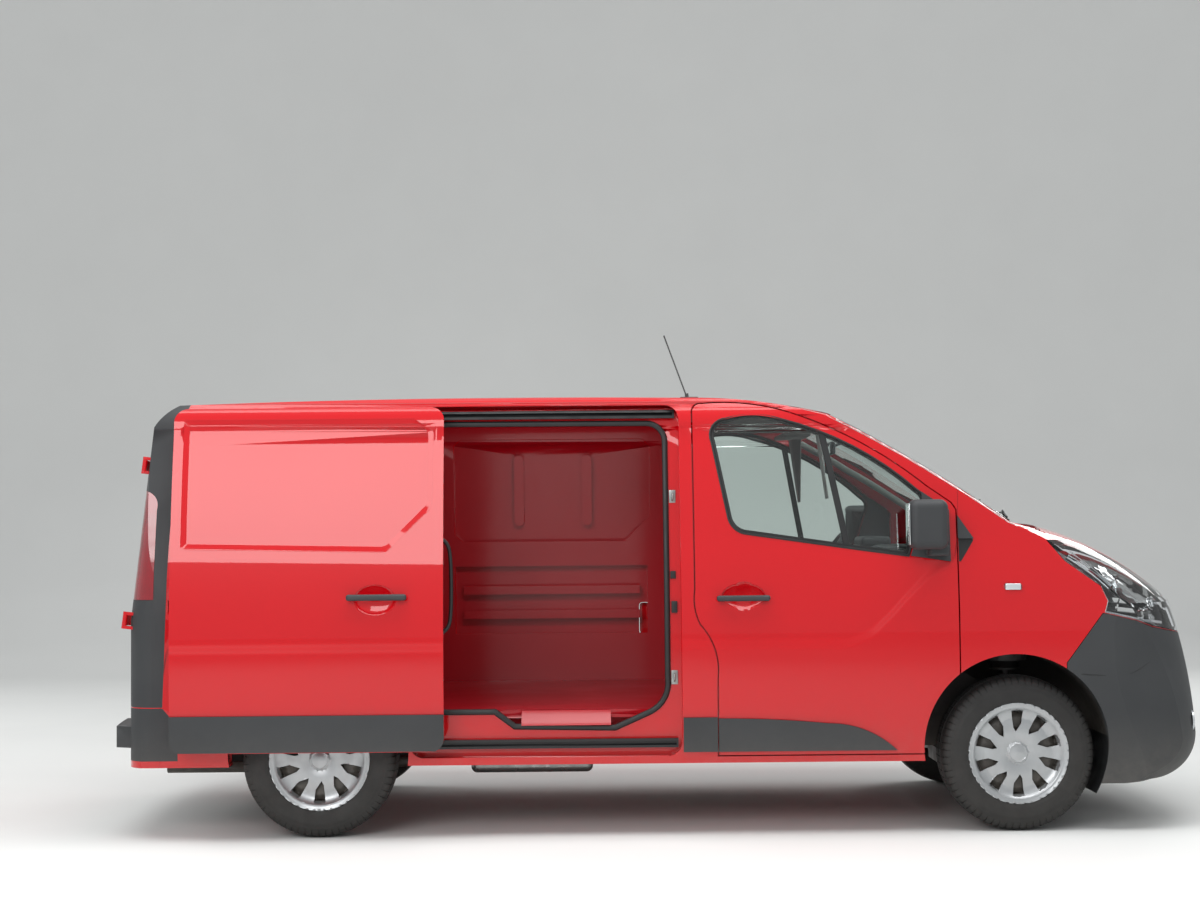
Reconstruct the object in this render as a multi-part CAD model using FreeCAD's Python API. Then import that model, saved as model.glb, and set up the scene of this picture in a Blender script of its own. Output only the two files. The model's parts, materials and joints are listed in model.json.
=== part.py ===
# Mid-size panel van: an assembly of separate body panels, doors, glass, trims, cab pieces and running gear.
# Row frame: +X forward, +Y to the van's left, +Z up, origin on the ground at the middle of the outline.
# All sizes are millimetres.
import FreeCAD
import Part
import functools
import math
import os

V = FreeCAD.Vector
os.makedirs("parts", exist_ok=True)

# Overall sizes
overall_length = 4999.0
wheelbase = 3098.0
front_overhang = 933.0
front_track = 1615.0
rear_track = 1628.0
body_half = 966.0
mirror_reach = 1141.5
axle_height = 343.0
tyre_width = 215.0
rim_radius = 203.0
load_floor_z = 552.0
floor_thickness = 36.0
floor_step = 1.0
sill_z = 318.0
cab_floor_z = 452.0
rail_z = 420.0
cross_z = 440.0
firewall_x = 1330.0
bulkhead_x = 150.0

nose_x = overall_length / 2
front_axle_x = nose_x - front_overhang
rear_axle_x = front_axle_x - wheelbase
tail_x = -2398.0
tail_bend_z = 965.0
tail_lean = 0.12

# Walls, gaps and rebates
side_wall = 95.0
roof_wall = 32.0
bonnet_wall = 26.0
nose_wall = 40.0
door_skin = 28.0
cab_door_wall = 84.0
window_frame_wall = 48.0
slide_door_wall = 76.0
rear_door_wall = 60.0
glass_wall = 5.0
flap_wall = 6.0
glass_inset = 9.0
trim_wall = 22.0
moulding_wall = 12.0
shut_gap = 6.0
rebate = 30.0
flange = 22.0
seat_gap = 0.3

# Wheel arches in the side view
front_arch_x = front_axle_x - 16.0
arch_z = 378.0
front_arch_r = 408.0
rear_arch_r = 398.0
arch_inner_y = 500.0
cover_windows = 10
spare_x = -1990.0
spare_z = 330.0
wheel_box_y = 634.0
box_wall = 8.0

# Seams in plan view: a screen arc is a circle through (x, 0)
screen_arc_r = 2500.0
screen_top_x = 866.0
screen_foot_x = 1680.0
bonnet_rear_x = 1745.0
bonnet_rear_r = 7000.0
bonnet_front_x = 2372.0
bonnet_front_r = 1712.0
bonnet_lip = 18.0
bonnet_lip_wall = 5.0
bonnet_pivot_x = 1685.0
bonnet_pivot_z = 1315.0
bonnet_pivot_y = 560.0
bonnet_corner_gap = 26.0
bonnet_swing_gap = 11.0
scuttle_sink = 60.0
scuttle_wall = 22.0
wiper_bow = 0.00004
roof_half = 700.0

# Doors
cab_door_rear_x = 236.0
cab_door_front_x = 1300.0
slide_front_x = 70.0
slide_rear_x = -1125.0
slide_bottom_z = 388.0
slide_top_z = 1903.0
slide_travel = 1040.0
slide_offset = 92.0
rear_door_half = 838.0
rear_door_split_y = -150.0
rear_door_bottom_z = 516.0
rear_door_top_z = 1880.0
rear_opening_half = 695.0
cab_hinge_x = 1270.0
cab_hinge_inset = 17.0
cab_hinge_lean = 0.04
cab_hinge_base_z = 800.0
cab_hinge_rows = (830.0, 1180.0)
cab_hinge_pocket = 42.0
cab_knuckle_r = 8.5
cab_edge_skin = 5.0
rear_hinge_low = (-2396.0, 884.0, 968.0)
rear_hinge_high = (-2313.0, 862.0, 1656.0)
pin_r = 6.0
knuckle_r = 11.0
knuckle_half = 24.0
pin_clearance = 0.05

# Wheels and steering
spindle_r = 22.0
bearing_gap = 0.05
steering_wheel_x = 880.0
steering_wheel_y = 430.0
steering_wheel_z = 1165.0
steering_rake = 32.0
steering_wheel_r = 190.0
kingpin_y = front_track / 2 - 78.0
strut_y = 630.0
strut_r = 24.0
coil_r = 62.0
tower_r = 100.0
tower_top_z = 855.0
carrier_low_z = axle_height - 90.0
carrier_top_z = axle_height + 110.0
subframe_half = 470.0
beam_x = rear_axle_x + 200.0
arm_pivot_x = rear_axle_x + 400.0
antenna_x = 170.0
antenna_tip = (47.0, 0.0, 2303.0)
flap_pocket = (-65.0, 105.0, 790.0, 960.0)
flap_pin_x = 90.0
flap_pin_y = 960.0
flap_pin_r = 2.5
lashing_hole_r = 5.25
lashing_rows = (-2100.0, -300.0)
lashing_y = 590.0
rail_rows = ((1850.0, 1888.0), (386.0, 426.0))
centre_rail = (1008.0, 1052.0)
liner_wall = 6.0


def wire(steps, place):
    """A closed wire. A step is a point, or a pair (middle, end) for an arc. place turns (a, b) into a 3D point."""
    points = [s[-1] if isinstance(s[0], tuple) else s for s in steps]
    edges = []
    for i, step in enumerate(steps):
        start = place(*points[i - 1])
        end = place(*points[i])
        if isinstance(step[0], tuple):
            edges.append(Part.Arc(start, place(*step[0]), end).toShape())
        else:
            edges.append(Part.LineSegment(start, end).toShape())
    return Part.Wire(edges)


def prism_y(steps, y0, y1):
    """A side-view outline (x, z) carried across from y0 to y1."""
    return Part.Face(wire(steps, lambda x, z: V(x, y0, z))).extrude(V(0, y1 - y0, 0))


def prism_x(steps, x0, x1):
    """A front-view outline (y, z) carried along from x0 to x1."""
    return Part.Face(wire(steps, lambda y, z: V(x0, y, z))).extrude(V(x1 - x0, 0, 0))


def prism_z(steps, z0, z1):
    """A plan outline (x, y) carried up from z0 to z1."""
    return Part.Face(wire(steps, lambda x, y: V(x, y, z0))).extrude(V(0, 0, z1 - z0))


def grown(steps, distance, y0, y1):
    """A side-view outline grown by a distance (shrunk when negative) and carried across."""
    face = Part.Face(wire(steps, lambda x, z: V(x, y0, z)))
    face = face.makeOffset2D(distance, join=2)
    return face.extrude(V(0, y1 - y0, 0))


def block(x0, x1, y0, y1, z0, z1):
    """A box between two corners, in any order."""
    low = V(min(x0, x1), min(y0, y1), min(z0, z1))
    return Part.makeBox(abs(x1 - x0), abs(y1 - y0), abs(z1 - z0), low)


def rod(start, end, radius):
    """A round bar between two points."""
    run = V(*end) - V(*start)
    return Part.makeCylinder(radius, run.Length, V(*start), run)


def ring(start, end, radius, bore):
    """A tube between two points."""
    return rod(start, end, radius).cut(rod(start, end, bore))


def moved(shape, x=0.0, y=0.0, z=0.0):
    """A copy of a shape, shifted."""
    copy = shape.copy()
    copy.translate(V(x, y, z))
    return copy


def mirrored(shape):
    """The same piece on the other side of the van."""
    return shape.mirror(V(0, 0, 0), V(0, 1, 0))


def fused(pieces):
    """One body from several that meet."""
    body = pieces[0]
    if len(pieces) > 1:
        body = body.fuse(pieces[1:])
    return body.removeSplitter()


def cut_all(shape, tools):
    """A shape with several tools cut from it, one by one."""
    for tool in tools:
        shape = shape.cut(tool)
    return shape


def common_all(shape, zones):
    """The part of a shape that lies in every zone."""
    for zone in zones:
        shape = shape.common(zone)
    return shape


def rounded_box(x0, x1, y0, y1, z0, z1, radius):
    """A box with all its edges rounded."""
    box = block(x0, x1, y0, y1, z0, z1)
    return box.makeFillet(radius, box.Edges)


def rounded_along(x0, x1, y0, y1, z0, z1, radius, axis):
    """A box with the four edges along one axis rounded."""
    box = block(x0, x1, y0, y1, z0, z1)
    edges = [e for e in box.Edges if abs(e.tangentAt(e.FirstParameter).dot(axis)) > 0.9]
    return box.makeFillet(radius, edges)


def save(name, shapes, least=200.0):
    """Writes one node. Crumbs smaller than the least volume are dropped."""
    if not isinstance(shapes, (list, tuple)):
        shapes = [shapes]
    solids = [s for shape in shapes for s in shape.Solids if s.Volume > least]
    if not all(s.isValid() for s in solids):
        print("INVALID", name)
    shape = solids[0] if len(solids) == 1 else Part.makeCompound(solids)
    shape.exportStep("parts/" + name + ".step")
    print(name, len(solids), "solids", round(shape.Volume / 1e6, 2), "litres")


# The body's outer form: cross stations of the side view.
# Columns: y, nose set back, screen set back, roof drop.
STATIONS = [
    (0.0, 0.0, 0.0, 0.0),
    (420.0, 20.0, 36.0, 6.0),
    (700.0, 88.0, 96.0, 17.0),
    (860.0, 195.0, 140.0, 30.0),
    (990.0, 430.0, 180.0, 46.0),
]


def side_profile(y, nose, screen, drop, wall, top):
    """The outline in side view at one y, with the nose drawn in by a wall and the top lowered."""
    front = nose_x - nose - wall
    drop = drop + top
    steps = [
        ((front - 55.6, 265.6 - wall * 0.4), (front - 190.0, 210.0 - wall)),
        (-2460.0, 210.0 - wall),
        (-2460.0, 1940.0 - drop),
        ((-1100.0, 1971.0 - drop), (100.0, 1966.0 - drop)),
        ((500.0 - screen * 0.4, 1945.0 - drop), (866.0 - screen, 1886.0 - drop)),
        ((1290.0 - screen, 1645.0 - drop * 0.6 - top * 0.6), (1694.0 - screen, 1376.0 - drop * 0.3 - top)),
        ((2062.0 - nose * 0.9 - wall * 0.4, 1236.0 - top), (2384.0 - nose - wall, 1004.0 - top)),
        ((front - 36.0, 700.0), (front, 400.0)),
    ]
    return wire(steps, lambda x, z: V(x, y, z))


@functools.lru_cache(maxsize=None)
def hull(wall=0.0, top=0.0):
    """The lofted nose, bonnet, screen and roof."""
    rows = [(-row[0],) + row[1:] for row in reversed(STATIONS[1:])] + STATIONS
    return Part.makeLoft([side_profile(*row, wall, top) for row in rows], True, False)


def half_section(inset=0.0, top=0.0):
    """The left half of the body's cross section, drawn in by an inset and carried along the whole van."""
    half = body_half - inset
    steps = [
        (0.0, 150.0),
        (half - 40.0, 150.0),
        (half - 28.0, 330.0),
        ((half - 7.0, 560.0), (half, 800.0)),
        ((half - 6.0, 1050.0), (half - 33.0, 1300.0)),
        ((half - 69.0, 1560.0), (half - 116.0, 1800.0 - top)),
        ((half - 146.0, 1903.0 - top), (half - 264.0, 1956.0 - top)),
        (0.0, 2090.0 - top),
    ]
    return prism_x(steps, -2600.0, 2600.0)


def section(inset=0.0, top=0.0):
    """The whole cross section of the body's sides."""
    left = half_section(inset, top)
    return left.fuse(mirrored(left))


def half_plan(inset=0.0, tail=0.0):
    """The left half of the plan outline, drawn in by an inset. Its rear corner leans with the tail."""
    side = body_half + 4.0 - inset
    end = tail_x + tail
    rear = [
        ((end + 5.0, 420.0), (end + 20.0, 830.0 - inset)),
        ((end + 50.0, side - 60.0), (end + 150.0, side - 20.0)),
        (-1900.0, side),
        (-1900.0, 0.0),
        (end, 0.0),
    ]
    low = prism_z(rear, 100.0, tail_bend_z)
    face = Part.Face(wire(rear, lambda x, y: V(x, y, tail_bend_z)))
    high = face.extrude(V(tail_lean * 1185.0, 0, 1185.0))
    front = prism_z([
        (-1901.0, side),
        (1740.0, side),
        ((2120.0, side - 34.0), (2330.0, side - 128.0)),
        (2600.0, side - 170.0),
        (2600.0, 0.0),
        (-1901.0, 0.0),
    ], 100.0, 2150.0)
    return low.fuse([high, front])


def plan(inset=0.0, tail=0.0):
    """The whole plan outline with its rounded corners."""
    half = half_plan(inset, tail)
    return half.fuse(mirrored(half)).removeSplitter()


def tail_form(depth=0.0, top=0.0):
    """All that lies ahead of the tail's leaning face, drawn in by a depth."""
    end = tail_x + depth
    return prism_y([
        (end, 100.0),
        (end, 965.0),
        ((end + 36.0, 1330.0), (end + 86.0, 1680.0)),
        ((end + 158.0, 1870.0 - top * 0.7), (end + 308.0, 1953.0 - top)),
        (-1900.0, 2200.0),
        (2600.0, 2200.0),
        (2600.0, 100.0),
    ], -1100.0, 1100.0)


def shell_core(side=0.0, tail=0.0):
    """The prism-shaped core inside the sides and the tail."""
    return section(side).common(plan(side, tail)).common(tail_form(tail))


OUTER = hull().common(shell_core())
RIGHT = OUTER.common(block(-2600, 2600, -560, -1100, 150, 2100))
FRONT = OUTER.common(block(1250, 2600, -1100, 1100, 190, 1500))
TAIL = OUTER.common(block(-2600, -2050, -1100, 1100, 150, 2100))


@functools.lru_cache(maxsize=None)
def side_core(depth):
    """What lies inside the right side's wall of one depth, out from the middle."""
    return mirrored(half_section(depth).common(half_plan(depth)))


def side_layer(depth):
    """The right side's wall down to a depth, measured across."""
    return RIGHT.cut(side_core(depth))


def rear_layer(depth):
    """The tail's wall down to a depth, measured along."""
    return TAIL.cut(plan(0.0, depth).common(tail_form(depth)))


WALL = side_layer(side_wall)
LAYER_RECESS = side_layer(door_skin + shut_gap)
INSIDE = hull(nose_wall, roof_wall + seat_gap).common(
    section(side_wall + seat_gap)).common(plan(side_wall + seat_gap)).common(
    block(-2600, 1700, -1100, 1100, 200, 2100))

FRONT_ARCH = rod((front_arch_x, -1100, arch_z), (front_arch_x, 1100, arch_z), front_arch_r)
REAR_ARCH = rod((rear_axle_x, -1100, arch_z), (rear_axle_x, 1100, arch_z), rear_arch_r)


def behind_arc(x, radius=screen_arc_r, z0=900.0, z1=2100.0):
    """All that lies behind a seam that is an arc in plan view, through (x, 0)."""
    return rod((x - radius, 0, z0), (x - radius, 0, z1), radius)


# Zones in front view and side view
SCREEN_ZONE = section(side_wall + seat_gap)
ROOF_CUT = block(-2600, 900, -roof_half - 1.0, roof_half + 1.0, 1850.0, 2100.0)
WING_TOP = [(cab_door_front_x + shut_gap, 180.0), (cab_door_front_x + shut_gap, 1296.0), (1660.0, 1335.0),
            (1800.0, 1400.0), (2700.0, 1400.0), (2700.0, 180.0)]
LAMP_OUTLINE = [(1704.0, 1285.0), (1778.0, 1196.0), (1933.0, 1083.0), (1963.0, 1016.0), (1949.0, 967.0),
                (2087.0, 934.0), (2176.0, 902.0), (2345.0, 868.0), (2600.0, 850.0), (2600.0, 1290.0)]
BUMPER_OUTLINE = [(1937.0, 960.0), (1776.0, 745.0), (1776.0, 190.0), (2600.0, 190.0), (2600.0, 842.0),
                  (2345.0, 860.0), (2176.0, 894.0), (2087.0, 926.0), (1949.0, 959.0)]
GRILLE_OUTLINE = [(-540.0, 800.0), (540.0, 800.0), (600.0, 1040.0), (-600.0, 1040.0)]
BONNET_SIDE = [(1500.0, -872.0), (1640.0, -872.0), (2255.0, -622.0), (2700.0, -622.0), (2700.0, 0.0),
               (1500.0, 0.0)]


def bonnet_zone(gap=0.0):
    """The plan of the bonnet, grown by a gap."""
    side = [(x, y - gap) if y < 0 else (x, y) for x, y in BONNET_SIDE]
    half = prism_z(side, 950.0, 1500.0)
    zone = half.fuse(mirrored(half)).common(behind_arc(bonnet_front_x + gap, bonnet_front_r))
    return zone.cut(behind_arc(bonnet_rear_x - gap, bonnet_rear_r))


def nose_shell():
    """The hollow wall of the nose."""
    core = hull(nose_wall, nose_wall).common(section(nose_wall)).common(plan(nose_wall))
    return FRONT.cut(core)


NOSE = nose_shell()
BONNET_ZONE = bonnet_zone()
BONNET_CUT = bonnet_zone(shut_gap)
SCUTTLE_ZONE = behind_arc(bonnet_rear_x - shut_gap, bonnet_rear_r).cut(behind_arc(screen_foot_x - 22.0))
GRILLE_ZONE = prism_x(GRILLE_OUTLINE, 2150.0, 2600.0)
LAMP_ZONE = prism_y(LAMP_OUTLINE, -1100.0, 1100.0)


# Cab door outline in side view. The front lower corner is cut by the wheel arch.
CAB_DOOR = [
    (cab_door_rear_x, 352.0),
    (cab_door_rear_x, 690.0),
    ((215.0, 845.0), (160.0, 930.0)),
    ((143.0, 975.0), (138.0, 1080.0)),
    (138.0, 1870.0),
    ((150.0, 1902.0), (185.0, 1912.0)),
    ((380.0, 1910.0), (560.0, 1872.0)),
    ((870.0, 1738.0), (1172.0, 1532.0)),
    (1280.0, 1456.0),
    (cab_door_front_x, 1425.0),
    (cab_door_front_x, 352.0),
]
CAB_WINDOW = [
    (1084.0, 1225.0),
    (883.0, 1253.0),
    (372.0, 1328.0),
    ((318.0, 1352.0), (290.0, 1405.0)),
    (224.0, 1740.0),
    ((228.0, 1806.0), (290.0, 1842.0)),
    ((412.0, 1858.0), (532.0, 1838.0)),
    ((835.0, 1722.0), (1130.0, 1515.0)),
    ((1162.0, 1470.0), (1148.0, 1420.0)),
]


def slide_outline(front, rear, bottom, top, radius):
    """The sliding door's outline in side view, with its corners rounded."""
    k = radius * (1 - math.sqrt(0.5))
    return [
        (front - radius, bottom),
        ((front - k, bottom + k), (front, bottom + radius)),
        (front, top - radius),
        ((front - k, top - k), (front - radius, top)),
        (rear + radius, top),
        ((rear + k, top - k), (rear, top - radius)),
        (rear, bottom + radius),
        ((rear + k, bottom + k), (rear + radius, bottom)),
    ]


SLIDE_DOOR = slide_outline(slide_front_x, slide_rear_x, slide_bottom_z, slide_top_z, 60.0)
SLIDE_RECESS = slide_outline(slide_front_x + shut_gap, slide_rear_x - shut_gap, 350.0, slide_top_z + shut_gap, 66.0)
SLIDE_APERTURE = [
    (10.0, 1740.0),
    ((-12.0, 1800.0), (-70.0, 1824.0)),
    (-960.0, 1826.0),
    ((-1005.0, 1808.0), (-1022.0, 1765.0)),
    (-1022.0, 600.0),
    ((-1005.0, 568.0), (-970.0, load_floor_z)),
    (-752.0, load_floor_z),
    (-664.0, 486.0),
    (-222.0, 477.0),
    (-67.0, 546.0),
    ((-8.0, 600.0), (10.0, 690.0)),
]


def pressed_inner(side):
    """Pressings cut into the right side's inner face: the blank window, the belt and the lower panels."""
    depth = side_wall - 40.0
    cuts = []
    blank = [(-1045.0, 1325.0), (-1000.0, 1290.0), (-140.0, 1290.0), (-5.0, 1425.0), (-5.0, 1790.0),
             (-45.0, 1832.0), (-1010.0, 1832.0), (-1045.0, 1800.0)]
    layer = side_core(side_wall - depth)
    ribs = [prism_y([(x - 26.0, 1400.0), ((x, 1374.0), (x + 26.0, 1400.0)), (x + 26.0, 1720.0),
                     ((x, 1746.0), (x - 26.0, 1720.0))], -1000.0, 0.0) for x in (-700.0, -340.0)]
    cuts.append(prism_y(blank, -1000.0, 0.0).cut(ribs[0]).cut(ribs[1]))
    lower = [(-1045.0, 800.0), (-20.0, 800.0), (-20.0, 1160.0), (-1045.0, 1160.0)]
    beads = [block(-1000.0, -60.0, -1000.0, 0.0, z, z + 44.0) for z in (880.0, 1010.0)]
    cuts.append(cut_all(prism_y(lower, -1000.0, 0.0), beads))
    rear = [(-2150.0, 1325.0), (-1180.0, 1325.0), (-1180.0, 1790.0), (-2080.0, 1790.0)]
    cuts.append(prism_y(rear, -1000.0, 0.0))
    zone = fused([c.common(block(-2200, 0, -960, -700, 700, 1850)) for c in cuts])
    return side.cut(zone.common(layer))


def side_base():
    """The right body side without its sliding-door aperture."""
    side = WALL.common(block(-2600, 1720, -1100, -600, sill_z, 2000)).cut(ROOF_CUT)
    side = side.cut(prism_y(WING_TOP, -1100, 0)).cut(REAR_ARCH).cut(FRONT_ARCH)
    side = side.cut(grown(CAB_DOOR, -flange, -1100, 0))
    side = side.cut(grown(CAB_DOOR, shut_gap, -1100, 0).common(LAYER_RECESS)).cut(cab_hinge_pocket_cut())
    side = side.fuse(cab_hinges_body())
    tail = rear_layer(door_skin + shut_gap)
    pillar = TAIL.common(block(-2600, -2235, -rear_opening_half, -body_half, sill_z + 200.0, 1890))
    pillar = pillar.cut(prism_x([(-702.0, 1000.0), (-702.0, 2000.0), (0.0, 2000.0), (0.0, 1000.0)], -2600, -2200))
    side = side.fuse(pillar)
    side = side.cut(tail.common(rear_leaf_zone(shut_gap)))
    side = side.cut(corner_layer(trim_wall + seat_gap)).cut(rear_bumper_zone(seat_gap))
    return side.fuse(rear_hinges_body()).removeSplitter()


def rear_leaf_zone(gap=0.0, shrink=0.0):
    """Both rear doors' outline seen from behind, grown by a gap and shrunk by a rebate."""
    half = rear_door_half + gap - shrink
    low = rear_door_bottom_z - gap + shrink
    top = rear_door_top_z + gap - shrink
    return prism_x([
        (-half, low), (half, low), (half, 1100.0),
        ((half - 22.0, 1480.0), (half - 72.0, top - 110.0)),
        ((half - 100.0, top - 30.0), (half - 170.0, top)),
        (-half + 170.0, top),
        ((-half + 100.0, top - 30.0), (-half + 72.0, top - 110.0)),
        ((-half + 22.0, 1480.0), (-half, 1100.0)),
    ], -2600.0, -2100.0)


def corner_layer(depth):
    """The right rear corner's outer layer, where the plastic corner trim sits."""
    inner = shell_core(depth, depth).common(moved(TAIL, z=-depth))
    outline = [(-2600.0, 584.0), (-2215.0, 584.0), (-2190.0, 1300.0), (-2160.0, 1800.0), (-2100.0, 1990.0),
               (-2600.0, 1990.0)]
    zone = prism_y(outline, -1100.0, -600.0).cut(rear_leaf_zone(shut_gap))
    zone = zone.cut(block(-2700, -2000, -roof_half - 2.0, 0, 1800, 2100))
    return TAIL.cut(inner).common(zone)


def rear_bumper_zone(gap=0.0):
    """The side-view zone of the rear bumper."""
    return prism_y([(-2600.0, 348.0 - gap), (-2150.0 + gap, 348.0 - gap), (-2150.0 + gap, 505.0 + gap),
                    (-2215.0, 580.0 + gap), (-2600.0, 580.0 + gap)], -1100.0, 1100.0)


def side_right():
    """The right body side with the sliding-door aperture and the slot for the centre rail."""
    side = SIDE_BASE.cut(prism_y(SLIDE_APERTURE, -1100, -500))
    recess = prism_y(SLIDE_RECESS, -1100, -500).cut(side_core(slide_door_wall - 24.0))
    slot = block(-2190.0, slide_rear_x - shut_gap, -1100, -600, centre_rail[0] - 3.0, centre_rail[1] + 3.0)
    return side.cut(recess).cut(slot.cut(side_core(30.0)))


def side_left():
    """The left body side: closed, with pressings inside, the fuel filler's pocket and its flap's pins."""
    side = mirrored(pressed_inner(SIDE_BASE))
    x0, x1, z0, z1 = flap_pocket
    pocket = rounded_along(x0, x1, 905.0, 1000.0, z0, z1, 18.0, V(0, 1, 0))
    neck = rod((20.0, 904.0, 875.0), (20.0, 925.0, 875.0), 38.0)
    pins = [rod((flap_pin_x, flap_pin_y, z0 - 12.0), (flap_pin_x, flap_pin_y, z0 + 24.0), flap_pin_r),
            rod((flap_pin_x, flap_pin_y, z1 - 24.0), (flap_pin_x, flap_pin_y, z1 + 12.0), flap_pin_r)]
    return side.cut(pocket).fuse([neck] + pins)


def fuel_flap():
    """The fuel flap in the left side's pocket, with its knuckles."""
    x0, x1, z0, z1 = flap_pocket
    outline = rounded_along(x0 + 4.0, x1 - 4.0, 900.0, 1000.0, z0 + 4.0, z1 - 4.0, 14.0, V(0, 1, 0))
    panel = mirrored(mirrored(outline).common(side_core(0.0)).cut(side_core(flap_wall)))
    eyes = [rod((flap_pin_x, flap_pin_y, low), (flap_pin_x, flap_pin_y, low + 22.0), flap_pin_r + 2.5)
            for low in (z0 + 4.0, z1 - 26.0)]
    bores = [rod((flap_pin_x, flap_pin_y, low), (flap_pin_x, flap_pin_y, low + 26.0), flap_pin_r + pin_clearance)
             for low in (z0 + 2.0, z1 - 28.0)]
    return fused([panel] + eyes).cut(bores[0]).cut(bores[1])


def roof_panel():
    """The roof with its pressed lengthwise channels."""
    roof = OUTER.common(block(-2400, 900, -roof_half, roof_half, rear_door_top_z + shut_gap, 2100))
    low = hull(0.0, roof_wall)
    roof = roof.cut(low).common(behind_arc(screen_top_x - 3.0, z0=1500.0))
    grooves = []
    for y in (-560.0, -336.0, -112.0, 112.0, 336.0, 560.0):
        grooves.append(rounded_along(-2060.0, 420.0, y - 40.0, y + 40.0, 1900.0, 2000.0, 39.0, V(0, 0, 1)))
    return roof.cut(fused(grooves).cut(hull(0.0, 7.0)))


def windscreen():
    """The laminated windscreen between the pillars."""
    near = OUTER.common(block(500, 1900, -820, 820, 1280, 2000))
    normal = V(0.53, 0, 0.848)
    pane = moved(near, *(normal * -4.0)).cut(moved(near, *(normal * (-4.0 - glass_wall)))).common(SCREEN_ZONE)
    return pane.common(behind_arc(screen_foot_x)).cut(behind_arc(screen_top_x + 3.0))


def surface_z(x, y):
    """The height of the outer form above a plan point."""
    line = Part.makeLine(V(x, y, 700.0), V(x, y, 2100.0))
    return line.common(OUTER).BoundBox.ZMax


def scuttle():
    """The plenum trough between screen and bonnet, with its riser under the glass and the bonnet's hinge stands."""
    near = OUTER.common(block(1450, 1800, -840, 840, 1000, 1500))
    trough = moved(near, z=-scuttle_sink).cut(moved(near, z=-scuttle_sink - scuttle_wall)).common(SCUTTLE_ZONE)
    riser = near.common(SCUTTLE_ZONE).common(behind_arc(screen_foot_x + 2.0))
    riser = moved(riser, z=-13.0).cut(moved(near, z=-scuttle_sink - scuttle_wall)).common(SCUTTLE_ZONE)
    tray = trough.fuse(riser).common(SCREEN_ZONE)
    stands = []
    for side in (-1, 1):
        y = side * bonnet_pivot_y
        low = surface_z(bonnet_pivot_x, y) - scuttle_sink - 4.0
        stand = block(bonnet_pivot_x - 12.0, bonnet_pivot_x + 12.0, y - 6.0, y + 6.0, low, bonnet_pivot_z)
        eye = rod((bonnet_pivot_x, y - 6.0, bonnet_pivot_z), (bonnet_pivot_x, y + 6.0, bonnet_pivot_z), knuckle_r)
        pin = rod((bonnet_pivot_x, y - 20.0, bonnet_pivot_z), (bonnet_pivot_x, y + 20.0, bonnet_pivot_z), pin_r)
        stands += [stand, eye, pin]
    return fused([tray] + stands)


def bonnet_hinges():
    """The bonnet's hinge arms, each a pair of eyes on its pin."""
    arms = []
    under = hull(0.0, bonnet_wall - 4.0)
    for side in (-1, 1):
        for offset in (-13.0, 13.0):
            y = side * bonnet_pivot_y + offset
            eye = rod((bonnet_pivot_x, y - 6.0, bonnet_pivot_z), (bonnet_pivot_x, y + 6.0, bonnet_pivot_z), knuckle_r)
            arm = prism_y([(bonnet_pivot_x, bonnet_pivot_z - 8.0), (bonnet_pivot_x + 52.0, bonnet_pivot_z - 12.0),
                           (bonnet_pivot_x + 130.0, 1250.0), (bonnet_pivot_x + 130.0, 1400.0),
                           (bonnet_pivot_x + 74.0, 1400.0), (bonnet_pivot_x + 58.0, bonnet_pivot_z + 6.0),
                           (bonnet_pivot_x, bonnet_pivot_z + 8.0)], y - 5.0, y + 5.0)
            arm = arm.common(under)
            bore = rod((bonnet_pivot_x, y - 8.0, bonnet_pivot_z), (bonnet_pivot_x, y + 8.0, bonnet_pivot_z),
                       pin_r + pin_clearance)
            arms.append(fused([eye, arm]).cut(bore))
    return arms


def over_glass(x, y, lift):
    """A point at a lift above the outer form."""
    return V(x, y, surface_z(x, y) + lift)


def bar_along(points, radius):
    """A round bar along a row of points."""
    bars = [rod(tuple(a), tuple(b), radius) for a, b in zip(points, points[1:])]
    return bars + [Part.makeSphere(radius, point) for point in points[1:-1]]


def wipers():
    """Two wipers parked at the screen's foot, each an arm from its spindle in the trough and a blade."""
    pieces = []
    for y in (395.0, -215.0):
        foot = V(1712.0, y, surface_z(1701.0, y) + seat_gap - scuttle_sink)
        head = over_glass(1712.0, y, -26.0)
        arm = [over_glass(1712.0, y, -31.0), over_glass(1678.0, y - 22.0, 1.0), over_glass(1650.0, y - 50.0, 14.0),
               over_glass(1618.0, y - 190.0, 19.0), over_glass(1592.0, y - 330.0, 12.0)]
        blade = [over_glass(1640.0 - 0.13 * t - wiper_bow * t * t, y - 20.0 - t, 9.0)
                 for t in (0.0, 110.0, 220.0, 330.0, 440.0, 550.0)]
        pieces.append(fused([rod(tuple(foot), tuple(head), 10.0)] + bar_along(arm, 5.0) + bar_along(blade, 5.0)))
    return pieces


def front_wings():
    """Both front wings, hollow, between the door, the bonnet, the lamp and the bumper."""
    wing = common_all(NOSE, [prism_y(WING_TOP, -1100, 0), block(1300, 2400, -1100, -604, 200, 1400)])
    wing = cut_all(wing, [FRONT_ARCH, BONNET_CUT, grown(LAMP_OUTLINE, shut_gap / 2, -1100, 0),
                          grown(BUMPER_OUTLINE, shut_gap / 2, -1100, 0), cab_hinge_pocket_cut(),
                          behind_arc(bonnet_rear_x - shut_gap, bonnet_rear_r).common(
                              block(1200, 1800, -838, 0, 1180, 1500)),
                          bonnet_zone(bonnet_swing_gap).common(block(1600, 1850, -1000, 0, 1180, 1500)),
                          bonnet_zone(bonnet_corner_gap).common(block(1600, 1712, -866, 0, 1180, 1500))])
    wing = max(wing.Solids, key=lambda s: s.Volume)
    return [wing, mirrored(wing)]


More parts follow.
